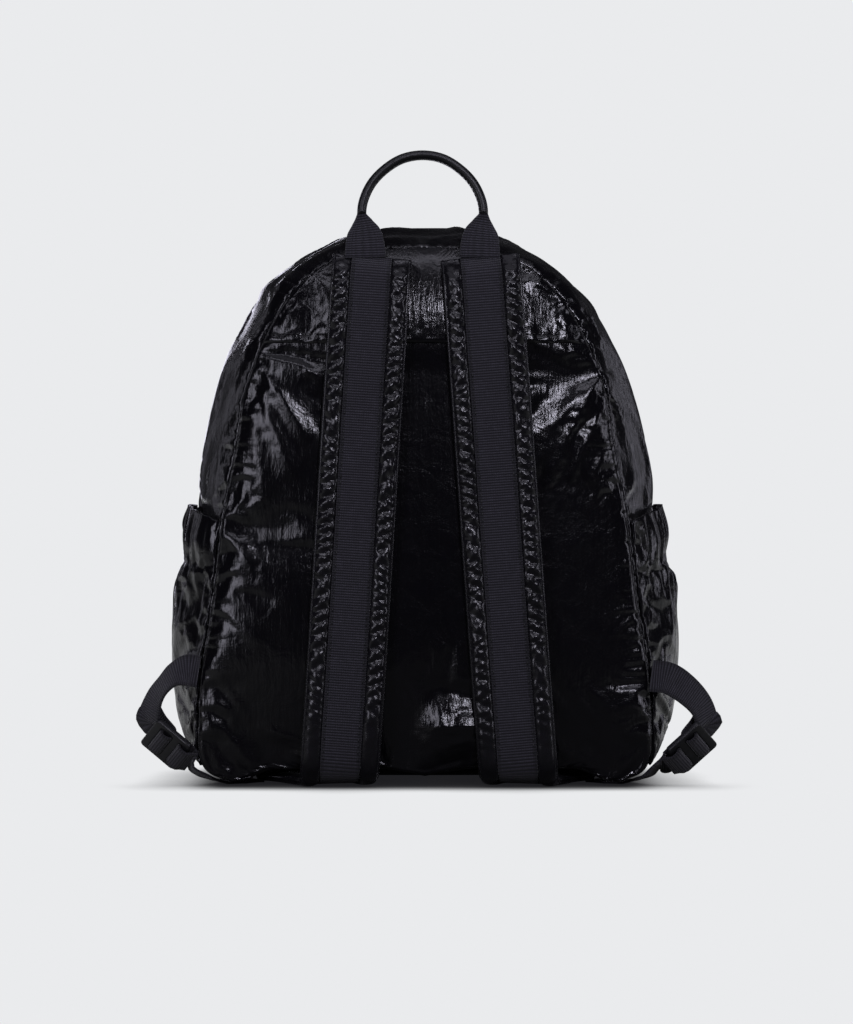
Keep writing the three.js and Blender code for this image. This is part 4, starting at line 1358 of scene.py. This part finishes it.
# The handle: webbing that is folded together as it rises, with cloth sewn round its arch.
def carry_handle():
    arch = []
    for side, rows in ((-1, HANDLE), (1, HANDLE[-2::-1])):
        for row in rows:
            x = HANDLE_CENTRE + side * row.reach
            arch.append([x, HANDLE_BACK + row.back, row.z, row.wide, row.deep])
    line = smooth_line(arch)
    last = len(arch) - 1
    back = np.array([0, -1.0, 0])

    def oval(from_row, to_row, wide_of, deep_of, square):
        row_at, run = even_rows(line, from_row, to_row)

        def place(around, along):
            rows = row_at(along)
            point = line(rows)
            wide = unit(np.cross(heading(line, rows), back))
            turn = 2 * math.pi * around
            across = np.sign(np.cos(turn)) * np.abs(np.cos(turn)) ** square * wide_of(point) / 2
            depth = np.sign(np.sin(turn)) * np.abs(np.sin(turn)) ** square * deep_of(point) / 2
            return beside_line((point, wide, back), across, depth)

        return place, run

    place, run = oval(0, last, lambda point: point[:, 3], lambda point: point[:, 4], square=0.6)
    piece = tube_piece("handle_webbing_cloth", HANDLE_GRID, place, (HANDLE_CUT, run), HANDLE_WEB)
    place_piece(piece, "webbing", "handle_webbing")

    ends = (WRAP_FROM * last, (1 - WRAP_FROM) * last)
    place, run = oval(*ends, lambda point: WRAP_RADIAL, lambda point: WRAP_DEEP, square=0.75)
    piece = tube_piece("handle_wrap_cloth", WRAP_GRID, place, (WRAP_CUT, run), WRAP_CLOTH)
    place_piece(piece, "handle_cloth", "handle_wrap")
    count = int(run / HANDLE_STITCH_PITCH)
    sewn = place(np.full(count, INNER_EDGE), np.linspace(HANDLE_STITCH_FROM, 1 - HANDLE_STITCH_FROM, count))
    stitches("handle_stitching", [sewn], HANDLE_STITCH)


# The closed zip on the hidden side of the gusset: flat tape with a coil along its middle.
def main_zip():
    row_at, run = even_rows(MIDDLE_LINE, ZIP_FIRST_ROW, CROWN)

    def place(along, across):
        side = np.where(along < 0.5, -1.0, 1.0)
        share = 1 - np.abs(2 * along - 1)
        row = side * row_at(share)
        spot = ZIP_ACROSS + (2 * across - 1) * ZIP_HALF
        ahead = strip_place(row, spot + 0.01) - strip_place(row, spot - 0.01)
        on = side * row_at(np.clip(share, 0.003, 0.997))
        run_on = (strip_place(on + 0.02, spot) - strip_place(on - 0.02, spot)) * side[:, None]
        normal = unit(np.cross(run_on, ahead) * -side[:, None])
        coil = COIL_RISE * np.exp(-(((2 * across - 1) / COIL_SHARE) ** 4))
        return strip_place(row, spot) + normal * (ZIP_LIFT + coil)[:, None]

    bm = sheet_grid(ZIP_GRID, place, (2 * run, ZIP_CUT))[0]
    piece = shape_piece("main_zip_tape", bm, ZIP_TAPE)
    wall_thickness(piece, ZIP_THICK)
    place_piece(piece, "zip_tape", "main_zip")


# The sewn line just above the yoke's hem.
def hem_stitching():
    z = np.full(HEM_STITCH_COUNT, HEM_HEIGHT + HEM_STITCH_RISE)
    half = half_width(HEM_HEIGHT + HEM_STITCH_RISE) - HEM_STITCH_INSET
    x = np.linspace(-half, half, HEM_STITCH_COUNT)
    y = yoke_face(x, z, half + HEM_STITCH_INSET, 1) - HEM_STITCH_LIFT
    stitches("hem_stitching", [np.stack([x, y, z], axis=1)], HEM_STITCH)


def photo_camera():
    data = bpy.data.cameras.new("photo_camera")
    data.sensor_width = CAMERA_SENSOR
    data.lens = CAMERA_LENS
    camera = bpy.data.objects.new("photo_camera", data)
    bpy.context.scene.collection.objects.link(camera)
    camera.location = (BAG_MIDDLE[0] + CAMERA_SHIFT, BAG_MIDDLE[1] - CAMERA_AWAY, CAMERA_HEIGHT)
    camera.rotation_euler = (math.radians(90), 0, 0)
    bpy.context.scene.camera = camera


def soft_light(name, place, target, size, watts):
    data = bpy.data.lights.new(name, "AREA")
    data.shape = "RECTANGLE"
    data.size, data.size_y = size
    data.energy = watts
    data.color = LIGHT_TINT
    light = bpy.data.objects.new(name, data)
    bpy.context.scene.collection.objects.link(light)
    light.location = place
    light.rotation_euler = (Vector(target) - Vector(place)).to_track_quat("-Z", "Y").to_euler()


# A floor that is white to the camera, with a painted shadow under the bag: its glow is darkened over the
# bag's footprint and by ambient occlusion next to it. The cloth sees it dim, with brighter sides, a painted
# glow that it reflects.
def floor_material():
    material, tree = new_material("studio_floor")
    tree.nodes.remove(tree.nodes["Principled BSDF"])
    # Painted contact shadow: ambient occlusion darkens the floor's glow next to the bag.
    painted_contact_shadow = add_node(tree, "AmbientOcclusion", Distance=0.035)
    painted_contact_shadow.samples = 16
    place = add_node(tree, "TexCoord").outputs
    split = add_node(tree, "SeparateXYZ", Vector=place["Object"]).outputs
    # Painted shadow over the bag's footprint, in the floor's own glow.
    shades = []
    for axis, middle, full, none in (("X", BAG_MIDDLE[0], 0.1, 0.125), ("Y", BAG_MIDDLE[1], 0.05, 0.08)):
        away = add_math(tree, "SUBTRACT", split[axis], float(middle))
        away = add_math(tree, "ABSOLUTE", away)
        shades.append(add_range(tree, away, full, none, low=0.96, high=0.0))
    under = add_math(tree, "MULTIPLY", *shades)
    clear = add_math(tree, "SUBTRACT", 1.0, under)
    clear = add_math(tree, "MULTIPLY", clear, painted_contact_shadow.outputs["AO"])
    # Painted glow seen only in the cloth: brighter to the left, to the right and beyond the bag's front,
    # fading towards the camera, for painted reflections on the lower cloth.
    beside = 1.0
    for axis, none, full in (("X", -0.05, -0.26), ("X", 0.13, 0.26), ("Y", 0.08, 0.2)):
        share = add_range(tree, split[axis], none, full, low=0.0, high=FLOOR_GAIN)
        beside = add_math(tree, "ADD", share, beside)
    near = add_range(tree, split["Y"], start=-0.7, end=-0.25, low=0.01, high=0.07)
    painted_glow_in_cloth = add_math(tree, "MULTIPLY", near, beside)
    rest = add_math(tree, "SUBTRACT", 1.0, painted_glow_in_cloth)
    path = add_node(tree, "LightPath").outputs
    strength = add_math(tree, "MULTIPLY_ADD", path["Is Camera Ray"], rest, painted_glow_in_cloth)
    # Painted shadow colour: the floor's glow goes from near black under the bag to studio white.
    shade = add_ramp(tree, clear, [(0.0, (0.012, 0.012, 0.014)), (0.95, STUDIO_WHITE)])
    glow = add_node(tree, "Emission", Color=shade, Strength=strength)
    set_inputs(tree, tree.nodes["Material Output"], Surface=glow.outputs["Emission"])
    return material


def studio():
    world = bpy.data.worlds.new("studio")
    bpy.context.scene.world = world
    world.use_nodes = True
    tree = world.node_tree
    seen = tree.nodes["Background"]
    set_inputs(tree, seen, Color=(*STUDIO_WHITE, 1))
    dim = add_node(tree, "Background", Color=(*STUDIO_WHITE, 1), Strength=0.01)
    path = add_node(tree, "LightPath").outputs
    blend = add_node(tree, "MixShader", Fac=path["Is Camera Ray"])
    tree.links.new(dim.outputs["Background"], blend.inputs[1])
    tree.links.new(seen.outputs["Background"], blend.inputs[2])
    set_inputs(tree, tree.nodes["World Output"], Surface=blend.outputs["Shader"])

    bm = bmesh.new()
    bmesh.ops.create_circle(bm, cap_ends=True, segments=64, radius=4)
    floor = shape_piece("studio_floor", bm, floor_material(), smooth=False)
    for light in LIGHTS:
        soft_light(*light)
    bpy.context.scene.view_settings.view_transform = "Standard"


photo_camera()
studio()
back_panel()
back_yoke()
front_panel()
gusset()
base_panel()
side_pocket("side_pocket_left", -1, seed=41.3)
side_pocket("side_pocket_right", 1, seed=47.9)
for strap in STRAP_SIDES:
    shoulder_strap(strap)
for lock in LOCK_SIDES:
    side_adjuster(lock)
carry_handle()
main_zip()
hem_stitching()

bpy.context.view_layer.update()
